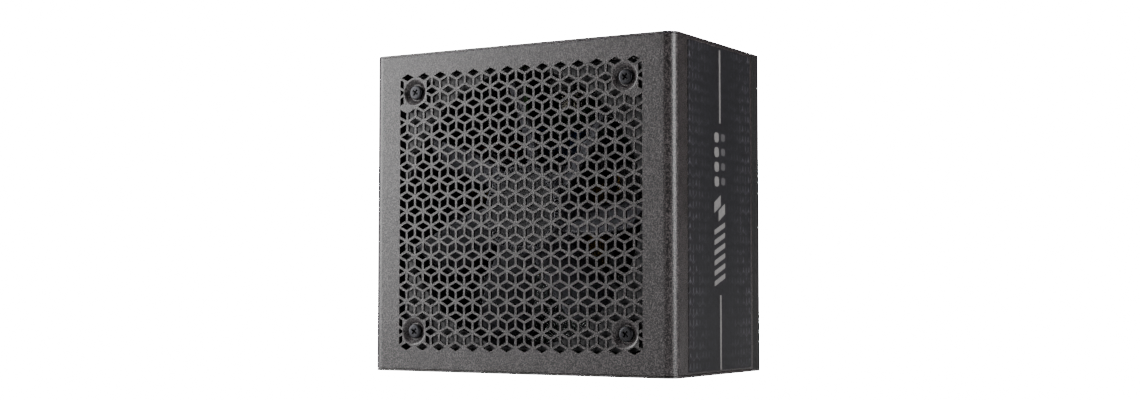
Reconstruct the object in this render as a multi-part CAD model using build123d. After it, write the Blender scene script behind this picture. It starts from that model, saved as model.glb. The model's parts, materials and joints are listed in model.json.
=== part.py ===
from build123d import *
import os
from math import atan2, cos, radians, sin

# A modular computer power supply, standing on its socket end. X runs across the fan face, Y runs from the
# fan face back to the base plate, Z runs up to the mains end. The origin is under the middle of the case.

# ---- driving sizes: casing ----
WIDTH = 150.0
DEPTH = 86.0
HEIGHT = 140.0
SHEET = 1.0
LABEL = 0.15
COVER_BEND = 5.0
COVER_SIDE = 76.2
COVER_GAP = 0.2
BASE_BEND = 2.0
EMBOSS = 1.0
EMBOSS_MARGIN = 4.5
LAP = 9.0
LAP_GAP = 0.1
FLANGE = 7.0

# ---- driving sizes: the perforated field, a squashed tumbling-block pattern ----
PITCH = 8.715
ROW = 6.58
ROWS = 19
DIAMOND = 4.39
STRUT = 1.05
FIELD_HALF = 60.5
FIELD_RIM = 1.0
TOP_ROW = 59.3
SMALLEST_CELL = 1.2

# ---- driving sizes: fan ----
FAN_SIZE = 120.0
FAN_HOLES = 105.0
FAN_THICK = 25.0
FAN_GAP = 0.2
BORE_RADIUS = 57.6
TIP_GAP = 1.8
HUB_RADIUS = 19.0
HUB_DEPTH = 17.0
HUB_SET = 2.0
BLADES = 7
BLADE_THICK = 1.7
BLADE_START = 107.0
SHAFT_RADIUS = 1.5
BEARING_RADIUS = 4.0
RUNNING_GAP = 0.04
FLANGE_THICK = 4.0
DIMPLE_RADIUS = 5.6
DIMPLE_DEPTH = 1.6
DIMPLE_FLOOR = 3.7
DIMPLE_ROLL = 0.4
DIMPLE_RIM = 0.2
FAN_SCREW_RADIUS = 2.1
FAN_SCREW_HEAD = 3.2
FAN_SCREW_RISE = 1.5
FAN_SCREW_LENGTH = 10.0
FAN_HOLE_RADIUS = 2.2

# ---- driving sizes: threaded case holes and cover screws ----
THREAD_RADIUS = 1.37
THREAD_LENGTH = 2.5
BOSS_RADIUS = 2.7
COVER_SCREW_RADIUS = 1.5
COVER_SCREW_HEAD = 2.7
COVER_SCREW_LENGTH = 5.0
TAB_LONG = 12.0
TAB_WIDE = 9.0

# ---- driving sizes: mains end ----
INLET_WIDE = 27.0
INLET_TALL = 19.6
INLET_DEEP = 20.0
INLET_FLANGE = 1.8
INLET_FLANGE_RISE = 2.0
CAVITY_WIDE = 24.6
CAVITY_TALL = 16.4
CAVITY_DEEP = 16.4
PIN_TAB = 3.0
LEAD = 1.8
SWITCH_WIDE = 12.8
SWITCH_TALL = 19.0
SWITCH_DEEP = 14.0
SWITCH_RIM = 1.2
ROCKER_WIDE = 8.4
ROCKER_TALL = 14.4
ROCKER_RADIUS = 16.0
ROCKER_PIN = 1.2
ROCKER_TILT = 8.0
FIT_GAP = 0.2
VENT_CELL = 5.0
VENT_PITCH = 6.4
VENT_RIM = 2.0

# ---- driving sizes: sockets ----
CELL_PITCH = 4.2
CELL = 3.4
SOCKET_WALL = 0.6
SOCKET_DEEP = 12.0
CELL_DEEP = 8.0
SOCKET_SET = 0.3
PIN = 1.1
PIN_HOLE = 1.3
PIN_SET = 2.2
PIN_TAIL = 1.4

# ---- driving sizes: boards ----
BOARD = 1.6
BOARD_EDGE = 4.0
STANDOFF = 4.6
STANDOFF_RADIUS = 3.0
BOARD_SCREW_RADIUS = 1.5
BOARD_SCREW_HEAD = 2.9
BOARD_SCREW_RISE = 2.0
BOARD_HOLE_RADIUS = 1.7
FILM = 0.4
BAFFLE = 0.5
TOP_CLEARANCE = 3.0

# ---- places worked out from the sizes ----
FRONT = -DEPTH / 2
BACK = DEPTH / 2
SIDE = WIDTH / 2 - LABEL
BASE_OUT = BACK - EMBOSS
BASE_IN = BASE_OUT - SHEET
FAN_FRONT = FRONT + SHEET + DIMPLE_DEPTH + FAN_GAP
FAN_BACK = FAN_FRONT + FAN_THICK
MID_Z = HEIGHT / 2
LOW = SHEET + COVER_GAP
HIGH = HEIGHT - SHEET - COVER_GAP
COVER_END = FRONT + COVER_SIDE
LIP_OUT = SIDE - SHEET - LAP_GAP
LIP_IN = LIP_OUT - SHEET
BOARD_BACK = BASE_IN - STANDOFF
BOARD_FRONT = BOARD_BACK - BOARD
ROOM = BOARD_FRONT - FAN_BACK - TOP_CLEARANCE
SOCKET_Z = SOCKET_SET + SOCKET_DEEP
MODULE_TOP = SOCKET_Z + BOARD
BOARD_LOW = MODULE_TOP + 3.0
BOARD_HIGH = HEIGHT - SHEET - 3.0
BOARD_SIDE = LIP_IN - 1.5
HUB_FRONT = FAN_FRONT + HUB_SET
RADIUS = BORE_RADIUS - TIP_GAP
FAN_POINTS = [(sx * FAN_HOLES / 2, MID_Z + sz * FAN_HOLES / 2) for sx in (-1, 1) for sz in (-1, 1)]
INLET_X = -SIDE + 34.0
INLET_Y = BASE_IN - 22.0
SWITCH_X = INLET_X + INLET_WIDE / 2 + 19.0
EARTH_SCREW = (INLET_X + 20.0, INLET_Y - 13.0)
CASE_HOLES = [
    (-WIDTH / 2 + 30.0, FRONT + 6.0),
    (WIDTH / 2 - 6.0, FRONT + 16.0),
    (-WIDTH / 2 + 6.0, BACK - 6.0),
    (WIDTH / 2 - 6.0, BACK - 6.0),
]
TAB_Y = FRONT + 36.0
COVER_SCREW_X = SIDE - SHEET - TAB_WIDE / 2
SOCKET_COUNTS = {
    "motherboard_sockets": [9, 5],
    "eight_pin_sockets": [4, 4, 4, 4, 4, 4],
    "six_pin_sockets": [3, 3, 3, 3],
}

os.makedirs("parts", exist_ok=True)


def save(name, *solids):
    """Write one node from its separate solids."""
    solids = [s for given in solids for s in (given.solids() if hasattr(given, "solids") else given)]
    node = Compound(children=solids) if len(solids) > 1 else solids[0]
    export_step(node, f"parts/{name}.step")


def block(x0, x1, y0, y1, z0, z1):
    """A plain box between six planes."""
    low = (min(x0, x1), min(y0, y1), min(z0, z1))
    size = (abs(x1 - x0), abs(y1 - y0), abs(z1 - z0))
    return Pos(*low) * Box(*size, align=(Align.MIN,) * 3)


def rod_y(x, z, y0, y1, radius):
    """A round bar along Y."""
    return Pos(x, (y0 + y1) / 2, z) * Rot(90, 0, 0) * Cylinder(radius, abs(y1 - y0))


def rod_z(x, y, z0, z1, radius):
    """A round bar along Z."""
    return Pos(x, y, (z0 + z1) / 2) * Cylinder(radius, abs(z1 - z0))


def turned_y(x, z, profile):
    """A solid of revolution about a Y axis, from (radius, y) points."""
    face = make_face(Polyline(*[(r, y, 0) for r, y in profile], close=True))
    return Pos(x, 0, z) * revolve(face, Axis.Y, 360)


def turned_z(x, y, profile):
    """A solid of revolution about a Z axis, from (radius, z) points."""
    face = make_face(Polyline(*[(r, 0, z) for r, z in profile], close=True))
    return Pos(x, y, 0) * revolve(face, Axis.Z, 360)


def tube_along(points, radii, diameter):
    """A lead of straight runs and tangent arcs."""
    path = FilletPolyline(*points, radius=radii)
    start = Plane(origin=path @ 0, z_dir=path % 0)
    return sweep(start * Circle(diameter / 2), path=path)


def pierced(outer, holes, plane, thickness, round_holes=(), hole_radius=1.0):
    """A flat sheet with openings: closed outlines of (u, v) points on a plane, and round ones by centre."""
    rim = plane * Polyline(*outer, close=True)
    inner = [Wire((plane * Polyline(*hole, close=True)).edges()) for hole in holes]
    for u, v in round_holes:
        inner.append(Wire((plane * Pos(u, v) * Circle(hole_radius)).edges()))
    return extrude(Face(Wire(rim.edges()), inner), amount=thickness)


def rectangle(u0, u1, v0, v1):
    return [(u0, v0), (u1, v0), (u1, v1), (u0, v1)]


# ---- fan cover ----
FIELD_X = FIELD_HALF + FIELD_RIM
FIELD_TOP = MID_Z + TOP_ROW + DIAMOND / 2 + FIELD_RIM
FIELD_LOW = MID_Z + TOP_ROW - (ROWS - 1) * ROW - DIAMOND / 2 - FIELD_RIM


def clip(points, inside, cross):
    """Keep the part of a convex outline on one side of a line."""
    kept = []
    for a, b in zip(points, points[1:] + points[:1]):
        if inside(a):
            kept.append(a)
        if inside(a) != inside(b):
            kept.append(cross(a, b))
    return kept


def clip_x(points, limit, sign):
    """Cut an outline along a vertical line, keeping the side that sign points away from."""
    def inside(p):
        return sign * (limit - p[0]) >= 0

    def cross(a, b):
        share = (limit - a[0]) / (b[0] - a[0])
        return (limit, a[1] + share * (b[1] - a[1]))

    return clip(points, inside, cross)


def area(points):
    pairs = zip(points, points[1:] + points[:1])
    return abs(sum(a[0] * b[1] - b[0] * a[1] for a, b in pairs)) / 2


def grille_cells():
    """The outlines of every opening: a diamond and the two slanted cells under it, row by row."""
    slope = DIAMOND / PITCH
    inset = STRUT / 2 / cos(atan2(DIAMOND, PITCH))
    half_x = PITCH / 2 - STRUT / 2 / sin(atan2(DIAMOND, PITCH))
    half_z = DIAMOND / 2 - inset
    tall = ROW - DIAMOND / 2
    near = STRUT / 2
    far = PITCH / 2 - STRUT / 2
    cells = []
    for row in range(ROWS):
        z = MID_Z + TOP_ROW - row * ROW
        shift = 0.5 if row % 2 == 0 else 0.0
        count = int(FIELD_HALF / PITCH) + 2
        for column in range(-count, count):
            x = (column + shift) * PITCH
            cells.append([(x - half_x, z), (x, z - half_z), (x + half_x, z), (x, z + half_z)])
            if row == ROWS - 1:
                continue
            for side in (-1, 1):
                top_near = z - DIAMOND / 2 + slope * near - inset
                top_far = z - DIAMOND / 2 + slope * far - inset
                low_far = z - DIAMOND / 2 - tall + slope * far + inset
                low_near = z - DIAMOND / 2 - tall + slope * near + inset
                cells.append([
                    (x + side * near, top_near),
                    (x + side * far, top_far),
                    (x + side * far, low_far),
                    (x + side * near, low_near),
                ])
    return cells


def distance_to(points, x, z):
    """The shortest distance from a place to an outline."""
    nearest = []
    for (ax, az), (bx, bz) in zip(points, points[1:] + points[:1]):
        along = (bx - ax) ** 2 + (bz - az) ** 2
        share = ((x - ax) * (bx - ax) + (z - az) * (bz - az)) / along
        share = min(1.0, max(0.0, share))
        nearest.append(((ax + share * (bx - ax) - x) ** 2 + (az + share * (bz - az) - z) ** 2) ** 0.5)
    return min(nearest)


def clear_of_dimple(cell, x, z):
    """Cut a cell off straight beside a dimple, if it would run into the dimple's lip."""
    edge = DIMPLE_RADIUS + DIMPLE_ROLL + DIMPLE_RIM
    if distance_to(cell, x, z) > edge:
        return cell
    middle_x = sum(p[0] for p in cell) / len(cell)
    if middle_x < x:
        return clip_x(cell, x - edge, 1)
    return clip_x(cell, x + edge, -1)


def trimmed_cells():
    """The openings, cut off straight at the field's sides and beside the four screw dimples."""
    kept = []
    for cell in grille_cells():
        cell = clip_x(cell, FIELD_HALF, 1)
        cell = clip_x(cell, -FIELD_HALF, -1) if cell else cell
        for x, z in FAN_POINTS:
            if cell:
                cell = clear_of_dimple(cell, x, z)
        if len(cell) > 2 and area(cell) > SMALLEST_CELL:
            kept.append(cell)
    return kept


def dimple(x, z):
    """A round pocket pressed into the sheet for a fan screw, with a hole in its floor."""
    y = FRONT
    slope = DIMPLE_RADIUS - DIMPLE_FLOOR
    bend = SHEET * 0.45
    return turned_y(x, z, [
        (DIMPLE_RADIUS + DIMPLE_ROLL, y),
        (DIMPLE_RADIUS, y + DIMPLE_DEPTH * 0.06),
        (DIMPLE_FLOOR + slope * 0.70, y + DIMPLE_DEPTH * 0.30),
        (DIMPLE_FLOOR + slope * 0.30, y + DIMPLE_DEPTH * 0.74),
        (DIMPLE_FLOOR, y + DIMPLE_DEPTH),
        (FAN_HOLE_RADIUS, y + DIMPLE_DEPTH),
        (FAN_HOLE_RADIUS, y + DIMPLE_DEPTH + SHEET),
        (DIMPLE_FLOOR + bend, y + DIMPLE_DEPTH + SHEET),
        (DIMPLE_RADIUS + DIMPLE_ROLL, y + SHEET),
    ])


def make_fan_grille():
    plane = Plane(origin=(0, FRONT, 0), x_dir=(1, 0, 0), z_dir=(0, -1, 0))
    outer = rectangle(-FIELD_X, FIELD_X, FIELD_LOW, FIELD_TOP)
    sheet = pierced(outer, trimmed_cells(), plane, -SHEET, FAN_POINTS, DIMPLE_RADIUS + DIMPLE_ROLL)
    save("fan_grille", sheet + [dimple(x, z) for x, z in FAN_POINTS])


def bent_section(half, front, back, bend):
    """The outline of a U of sheet, seen from above: open towards +Y."""
    outer = make_face(Polyline((-half, back), (-half, front), (half, front), (half, back), close=True))
    outer = fillet(outer.vertices().filter_by(lambda v: abs(v.Y - front) < 0.01), bend)
    inner_half = half - SHEET
    inner = make_face(Polyline(
        (-inner_half, back + 1), (-inner_half, front + SHEET), (inner_half, front + SHEET),
        (inner_half, back + 1), close=True))
    inner = fillet(inner.vertices().filter_by(lambda v: abs(v.Y - front - SHEET) < 0.01), bend - SHEET)
    return outer - inner


def countersunk(x, y, z, up):
    """The shape of a flush screw head and shank, used for the screw and, slightly larger, for its hole."""
    head = [(0, z), (COVER_SCREW_HEAD, z), (COVER_SCREW_RADIUS, z - up * SHEET)]
    shank = [(COVER_SCREW_RADIUS, z - up * COVER_SCREW_LENGTH), (0, z - up * COVER_SCREW_LENGTH)]
    return turned_z(x, y, head + shank)


def countersink(x, y, z, up):
    wide = COVER_SCREW_HEAD + RUNNING_GAP
    slim = COVER_SCREW_RADIUS + RUNNING_GAP
    deep = COVER_SCREW_LENGTH + 1
    return turned_z(x, y, [(0, z + up), (wide, z + up), (wide, z), (slim, z - up * SHEET),
                           (slim, z - up * deep), (0, z - up * deep)])


def cover_screw_places():
    return [(side * COVER_SCREW_X, TAB_Y, z, up) for side in (-1, 1) for z, up in ((0.0, -1), (HEIGHT, 1))]


def make_fan_cover():
    cover = extrude(bent_section(SIDE, FRONT, COVER_END, COVER_BEND), amount=HIGH - LOW)
    cover = Pos(0, 0, LOW) * cover
    cover -= block(-FIELD_X, FIELD_X, FRONT - 1, FRONT + SHEET + 1, FIELD_LOW, FIELD_TOP)
    for side in (-1, 1):
        for z in (LOW, HIGH - SHEET):
            inner = side * (SIDE - SHEET - TAB_WIDE)
            cover += block(inner, side * (SIDE - SHEET / 2), TAB_Y - TAB_LONG / 2, TAB_Y + TAB_LONG / 2, z, z + SHEET)
    for x, y, z, up in cover_screw_places():
        cover -= rod_z(x, y, z - up * 0.5, z - up * (COVER_SCREW_LENGTH + 1), COVER_SCREW_RADIUS + RUNNING_GAP)
    save("fan_cover", cover)


# ---- base tray and end panels ----
def make_base_tray():
    half = SIDE
    wall_top = COVER_END + LAP_GAP * 3
    outer = make_face(Polyline((-half, wall_top), (-half, BASE_OUT), (half, BASE_OUT), (half, wall_top), close=True))
    outer = fillet(outer.vertices().filter_by(lambda v: v.Y > BASE_OUT - 0.01), BASE_BEND)
    hollow = half - SHEET
    inner = make_face(Polyline(
        (-hollow, wall_top - 1), (-hollow, BASE_IN), (hollow, BASE_IN), (hollow, wall_top - 1), close=True))
    inner = fillet(inner.vertices().filter_by(lambda v: v.Y > BASE_IN - 0.01), BASE_BEND - SHEET)
    section = outer - inner
    tray = Pos(0, 0, SHEET) * extrude(section, amount=HEIGHT - 2 * SHEET)
    for side in (-1, 1):
        lip_start = COVER_END - LAP
        tray += block(side * LIP_IN, side * LIP_OUT, lip_start, wall_top + SHEET, LOW + SHEET, HIGH - SHEET)
        tray += block(side * LIP_IN, side * SIDE, wall_top, wall_top + SHEET, LOW + SHEET, HIGH - SHEET)
    field = Plane(origin=(0, BASE_OUT, MID_Z), x_dir=(1, 0, 0), z_dir=(0, 1, 0))
    wide = WIDTH - 2 * EMBOSS_MARGIN
    tall = HEIGHT - 2 * EMBOSS_MARGIN
    raised = extrude(field * RectangleRounded(wide, tall, 6), amount=EMBOSS, taper=40)
    below = Plane(origin=(0, BASE_IN, MID_Z), x_dir=(1, 0, 0), z_dir=(0, 1, 0))
    pressed = extrude(below * RectangleRounded(wide - SHEET, tall - SHEET, 5.5), amount=EMBOSS, taper=40)
    save("base_tray", tray + raised - pressed)


def panel_blank(z):
    """An end panel: a flat sheet with rounded front corners that follow the cover's bends."""
    front = FRONT + 0.4
    face = make_face(Polyline((-SIDE, BASE_OUT), (-SIDE, front), (SIDE, front), (SIDE, BASE_OUT), close=True))
    face = fillet(face.vertices().filter_by(lambda v: v.Y < 0), COVER_BEND - 0.4)
    face = fillet(face.vertices().filter_by(lambda v: v.Y > 0), BASE_BEND)
    return Pos(0, 0, z) * extrude(face, amount=SHEET)


def front_flange(z0, z1):
    """The strip bent down behind the cover's fan face, short of the cover's bends."""
    reach = SIDE - COVER_BEND - 3
    start = FRONT + SHEET + LAP_GAP
    return block(-reach, reach, start, start + SHEET, z0, z1)


def hexagon(u, v, across):
    radius = across / 2 / cos(radians(30))
    return [(u + radius * cos(radians(60 * k + 30)), v + radius * sin(radians(60 * k + 30))) for k in range(6)]


def vent_cells(x0, x1, y0, y1):
    """Six-sided vent holes in staggered rows that fill a rectangle."""
    cells = []
    rise = VENT_PITCH * cos(radians(30))
    rows = int((y1 - y0 - VENT_CELL - VENT_RIM) / rise)
    columns = int((x1 - x0 - VENT_CELL - VENT_RIM - VENT_PITCH / 2) / VENT_PITCH)
    start_x = (x0 + x1) / 2 - (columns + 0.5) * VENT_PITCH / 2
    start_y = (y0 + y1) / 2 - rows * rise / 2
    for row in range(rows + 1):
        for column in range(columns + 1):
            x = start_x + (column + 0.5 * (row % 2)) * VENT_PITCH
            cells.append(hexagon(x, start_y + row * rise, VENT_CELL))
    return cells


VENT_SIDE = (SWITCH_X + 12.0, SIDE - 12.0, FRONT + 12.0, BASE_IN - 9.0)
VENT_FRONT = (-SIDE + 12.0, SWITCH_X + 9.0, FRONT + 12.0, INLET_Y - 17.0)


def make_vent(name, zone):
    plane = Plane(origin=(0, 0, HEIGHT - SHEET))
    save(name, pierced(rectangle(*zone), vent_cells(*zone), plane, SHEET))


def inlet_cut(grow):
    """The inlet's outline: a rectangle with two cut corners towards the base plate."""
    half_x = INLET_WIDE / 2 + grow
    half_y = INLET_TALL / 2 + grow
    cut = 5.0
    return [(-half_x, -half_y), (half_x, -half_y), (half_x, half_y - cut), (half_x - cut, half_y),
            (-half_x + cut, half_y), (-half_x, half_y - cut)]


def make_mains_panel():
    z = HEIGHT - SHEET
    panel = panel_blank(z)
    for zone in (VENT_SIDE, VENT_FRONT):
        panel -= block(zone[0], zone[1], zone[2], zone[3], z - 1, z + SHEET + 1)
    hole = [(x + INLET_X, y + INLET_Y) for x, y in inlet_cut(FIT_GAP)]
    panel -= Pos(0, 0, z - 1) * extrude(make_face(Polyline(*hole, close=True)), amount=SHEET + 2)
    half_x = SWITCH_WIDE / 2 + FIT_GAP
    half_y = SWITCH_TALL / 2 + FIT_GAP
    panel -= block(SWITCH_X - half_x, SWITCH_X + half_x, INLET_Y - half_y, INLET_Y + half_y, z - 1, z + SHEET + 1)
    panel += front_flange(z - FLANGE, z + SHEET / 2)
    for x, y in CASE_HOLES:
        panel += rod_z(x, y, HEIGHT - THREAD_LENGTH, HEIGHT, BOSS_RADIUS)
        panel -= rod_z(x, y, HEIGHT - THREAD_LENGTH - 1, HEIGHT + 1, THREAD_RADIUS)
    for x, y, end, up in cover_screw_places():
        if up == 1:
            panel -= countersink(x, y, end, up)
    save("mains_panel", panel)


def socket_layout():
    """Every modular socket as (node, columns, x, y), in three rows between the fan and the base plate."""
    rows = {
        "motherboard_sockets": BASE_IN - 13.0,
        "eight_pin_sockets": BASE_IN - 28.0,
        "six_pin_sockets": BASE_IN - 43.0,
    }
    layout = []
    for name, columns in SOCKET_COUNTS.items():
        widths = [c * CELL_PITCH + 2 * SOCKET_WALL for c in columns]
        gap = 4.0
        x = -(sum(widths) + gap * (len(widths) - 1)) / 2
        for count, wide in zip(columns, widths):
            layout.append((name, count, x + wide / 2, rows[name]))
            x += wide + gap
    return layout


def cell_grid(columns):
    return [((c - (columns - 1) / 2) * CELL_PITCH, side * CELL_PITCH / 2) for c in range(columns) for side in (-1, 1)]


def make_socket_panel():
    panel = panel_blank(0)
    tall = CELL_PITCH * 2 + 2 * SOCKET_WALL
    for _, columns, x, y in socket_layout():
        half_x = (columns * CELL_PITCH + 2 * SOCKET_WALL) / 2 + FIT_GAP
        panel -= block(x - half_x, x + half_x, y - tall / 2 - FIT_GAP, y + tall / 2 + FIT_GAP, -1, SHEET + 1)
    panel += front_flange(SHEET / 2, FLANGE)
    for x, y, end, up in cover_screw_places():
        if up == -1:
            panel -= countersink(x, y, end, up)
    save("socket_panel", panel)


def make_cover_screws():
    screws = []
    for x, y, z, up in cover_screw_places():
        screw = countersunk(x, y, z, up)
        for turn in (0, 90):
            slot = Rot(0, 0, turn) * Box(3.0, 0.6, 1.0)
            screw -= Pos(x, y, z - up * 0.2) * slot
        screws.append(screw)
    save("cover_screws", *screws)


def make_fan_screws():
    screws = []
    floor = FRONT + DIMPLE_DEPTH
    for x, z in FAN_POINTS:
        head = turned_y(x, z, [
            (0, floor - FAN_SCREW_RISE),
            (FAN_SCREW_HEAD * 0.6, floor - FAN_SCREW_RISE),
            (FAN_SCREW_HEAD * 0.9, floor - FAN_SCREW_RISE * 0.75),
            (FAN_SCREW_HEAD, floor - FAN_SCREW_RISE * 0.35),
            (FAN_SCREW_HEAD, floor),
            (FAN_SCREW_RADIUS, floor),
            (FAN_SCREW_RADIUS, floor + FAN_SCREW_LENGTH - 1.2),
            (0.8, floor + FAN_SCREW_LENGTH),
            (0, floor + FAN_SCREW_LENGTH),
        ])
        for turn in (0, 90):
            head -= Pos(x, floor - FAN_SCREW_RISE + 0.3, z) * Rot(0, turn, 0) * Box(3.4, 1.6, 0.8)
        screws.append(head)
    save("fan_screws", *screws)


def make_labels():
    """Two thin printed labels, one on each side of the cover."""
    start = FRONT + 12.3
    end = FRONT + 73.8
    margin = 2.0
    for name, side in (("side_label", 1), ("rating_label", -1)):
        plane = Plane(origin=(side * SIDE, (start + end) / 2, MID_Z), x_dir=(0, 1, 0), z_dir=(side, 0, 0))
        save(name, extrude(plane * RectangleRounded(end - start, HEIGHT - 2 * margin, 1.0), amount=LABEL))


# ---- fan ----
def make_fan_frame():
    half = FAN_SIZE / 2
    plane = Plane(origin=(0, FAN_FRONT, MID_Z), x_dir=(1, 0, 0), z_dir=(0, 1, 0))
    frame = extrude(plane * RectangleRounded(FAN_SIZE, FAN_SIZE, 6), amount=FAN_THICK)
    middle_front = FAN_FRONT + FLANGE_THICK
    middle_back = FAN_BACK - FLANGE_THICK
    waist = block(-half - 1, half + 1, middle_front, middle_back, MID_Z - half - 1, MID_Z + half + 1)
    waist -= rod_y(0, MID_Z, middle_front - 1, middle_back + 1, half - 0.5)
    frame -= waist
    frame -= rod_y(0, MID_Z, FAN_FRONT - 1, FAN_BACK + 1, BORE_RADIUS)
    mouth = turned_y(0, MID_Z, [
        (BORE_RADIUS - 1, FAN_FRONT - 1), (BORE_RADIUS + 1.6, FAN_FRONT - 1), (BORE_RADIUS + 1.4, FAN_FRONT),
        (BORE_RADIUS + 0.4, FAN_FRONT + 1.5), (BORE_RADIUS, FAN_FRONT + 3.5), (BORE_RADIUS - 1, FAN_FRONT + 3.5)])
    frame -= mouth
    for x, z in FAN_POINTS:
        frame -= rod_y(x, z, FAN_FRONT - 1, FAN_BACK + 1, FAN_SCREW_RADIUS + RUNNING_GAP)
    hub_back = FAN_BACK - 3.0
    frame += rod_y(0, MID_Z, hub_back, FAN_BACK, HUB_RADIUS)
    for angle in (45, 135, 225, 315):
        strut = Pos(0, FAN_BACK - 1.5, 0) * Box(BORE_RADIUS - HUB_RADIUS + 4, 3.0, 3.6)
        strut = Pos((BORE_RADIUS + HUB_RADIUS) / 2, 0, 0) * strut
        frame += Pos(0, 0, MID_Z) * Rot(0, angle, 0) * strut
    tube_front = HUB_FRONT + 5.0
    frame += rod_y(0, MID_Z, tube_front, FAN_BACK - 1, BEARING_RADIUS + 1.2)
    frame -= rod_y(0, MID_Z, tube_front - 1, FAN_BACK - 1.5, BEARING_RADIUS)
    save("fan_frame", frame)


def blade(angle):
    """One swept blade, skewed so that its leading edge is nearest the fan face."""
    root = HUB_RADIUS - 0.6
    stations = []
    for share in (0.0, 0.5, 1.0):
        radius = root + (RADIUS - root) * share
        turn = radians(angle - 8.0 * (1 - share))
        pitch = radians(48 - 16 * share)
        chord = 19.0 + 13.0 * share
        radial = (cos(turn), 0, sin(turn))
        around = (-sin(turn), 0, cos(turn))
        middle = FAN_FRONT + 11.5
        lead = Vector(*around) * cos(pitch) + Vector(0, -1, 0) * sin(pitch)
        origin = Vector(radial[0] * radius, middle, radial[2] * radius + MID_Z)
        plane = Plane(origin=origin, x_dir=lead, z_dir=radial)
        nose = chord / 2
        thin = BLADE_THICK / 2
        stations.append(plane * Wire(Polyline(
            (-nose, 0.4), (-nose, -0.4), (-nose * 0.3, -thin - 0.9), (nose * 0.6, -thin), (nose, -0.35),
            (nose, 0.35), (nose * 0.6, thin), (-nose * 0.3, thin - 0.9), close=True).edges()))
    return Solid.make_loft([w if isinstance(w, Wire) else Wire(w.edges()) for w in stations], True)


def make_fan_rotor():
    cup_back = HUB_FRONT + HUB_DEPTH
    wall = 1.6
    hub = turned_y(0, MID_Z, [
        (0, HUB_FRONT), (HUB_RADIUS - 1.8, HUB_FRONT), (HUB_RADIUS - 0.5, HUB_FRONT + 0.5),
        (HUB_RADIUS, HUB_FRONT + 1.8), (HUB_RADIUS, cup_back), (HUB_RADIUS - wall, cup_back),
        (HUB_RADIUS - wall, HUB_FRONT + 2.0), (SHAFT_RADIUS, HUB_FRONT + 2.0), (SHAFT_RADIUS, HUB_FRONT + 1.0),
        (0, HUB_FRONT + 1.0)])
    keep = rod_y(0, MID_Z, FAN_FRONT + 1.0, FAN_BACK - 4.0, RADIUS)
    keep -= rod_y(0, MID_Z, FAN_FRONT, FAN_BACK, HUB_RADIUS - 0.8)
    for k in range(BLADES):
        hub += blade(BLADE_START + k * 360 / BLADES) & keep
    save("fan_rotor", hub)


YOKE_OUT = HUB_RADIUS - 1.6
YOKE_IN = YOKE_OUT - 1.0
MAGNET_IN = YOKE_IN - 1.6
AIR_GAP = 0.6
SHOE_IN = 2.2


def make_motor():
    front = HUB_FRONT + 2.0
    back = HUB_FRONT + HUB_DEPTH - 1.0
    yoke = turned_y(0, MID_Z, [(YOKE_IN, front), (YOKE_OUT, front), (YOKE_OUT, back), (YOKE_IN, back)])
    magnet = turned_y(0, MID_Z, [(MAGNET_IN, front + 1), (YOKE_IN, front + 1), (YOKE_IN, back), (MAGNET_IN, back)])
    save("rotor_yoke", yoke)
    save("rotor_magnet", magnet)
    save("fan_shaft", rod_y(0, MID_Z, HUB_FRONT + 1.0, FAN_BACK - 3.0, SHAFT_RADIUS))
    bearing_front = HUB_FRONT + 5.0
    bearing = rod_y(0, MID_Z, bearing_front, FAN_BACK - 2.5, BEARING_RADIUS)
    bearing -= rod_y(0, MID_Z, bearing_front - 1, FAN_BACK - 2, SHAFT_RADIUS + RUNNING_GAP)
    save("fan_bearing", bearing)
    stack_front = front + 4.0
    stack_back = back - 3.0
    core_in = BEARING_RADIUS + 1.2
    core = rod_y(0, MID_Z, stack_front, stack_back, core_in + 2.0)
    for k in range(4):
        arm_end = MAGNET_IN - SHOE_IN + 0.4
        arm = block(core_in + 1.0, arm_end, stack_front, stack_back, -1.5, 1.5)
        shoe = turned_y(0, 0, [(MAGNET_IN - SHOE_IN, stack_front), (MAGNET_IN - AIR_GAP, stack_front),
                               (MAGNET_IN - AIR_GAP, stack_back), (MAGNET_IN - SHOE_IN, stack_back)])
        shoe &= Pos(MAGNET_IN, (stack_front + stack_back) / 2, 0) * Box(8, FAN_THICK, 12)
        core += Pos(0, 0, MID_Z) * Rot(0, 90 * k, 0) * (arm + shoe)
    core -= rod_y(0, MID_Z, stack_front - 1, stack_back + 1, core_in)
    save("fan_stator", core)
    board_y = back + 0.8
    disc = rod_y(0, MID_Z, board_y, board_y + 1.0, YOKE_OUT - 0.5)
    disc -= rod_y(0, MID_Z, board_y - 1, board_y + 2, BEARING_RADIUS + 1.2)
    save("fan_circuit_board", disc)


def make_air_baffle():
    """A clear sheet on the back of the fan that steers air over the parts near the socket end."""
    y = FAN_BACK
    sheet = block(-FAN_SIZE / 2 + 12, FAN_SIZE / 2 - 12, y, y + BAFFLE, MID_Z - FAN_SIZE / 2 + 1, MID_Z - 28)
    save("air_baffle", sheet)


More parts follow.
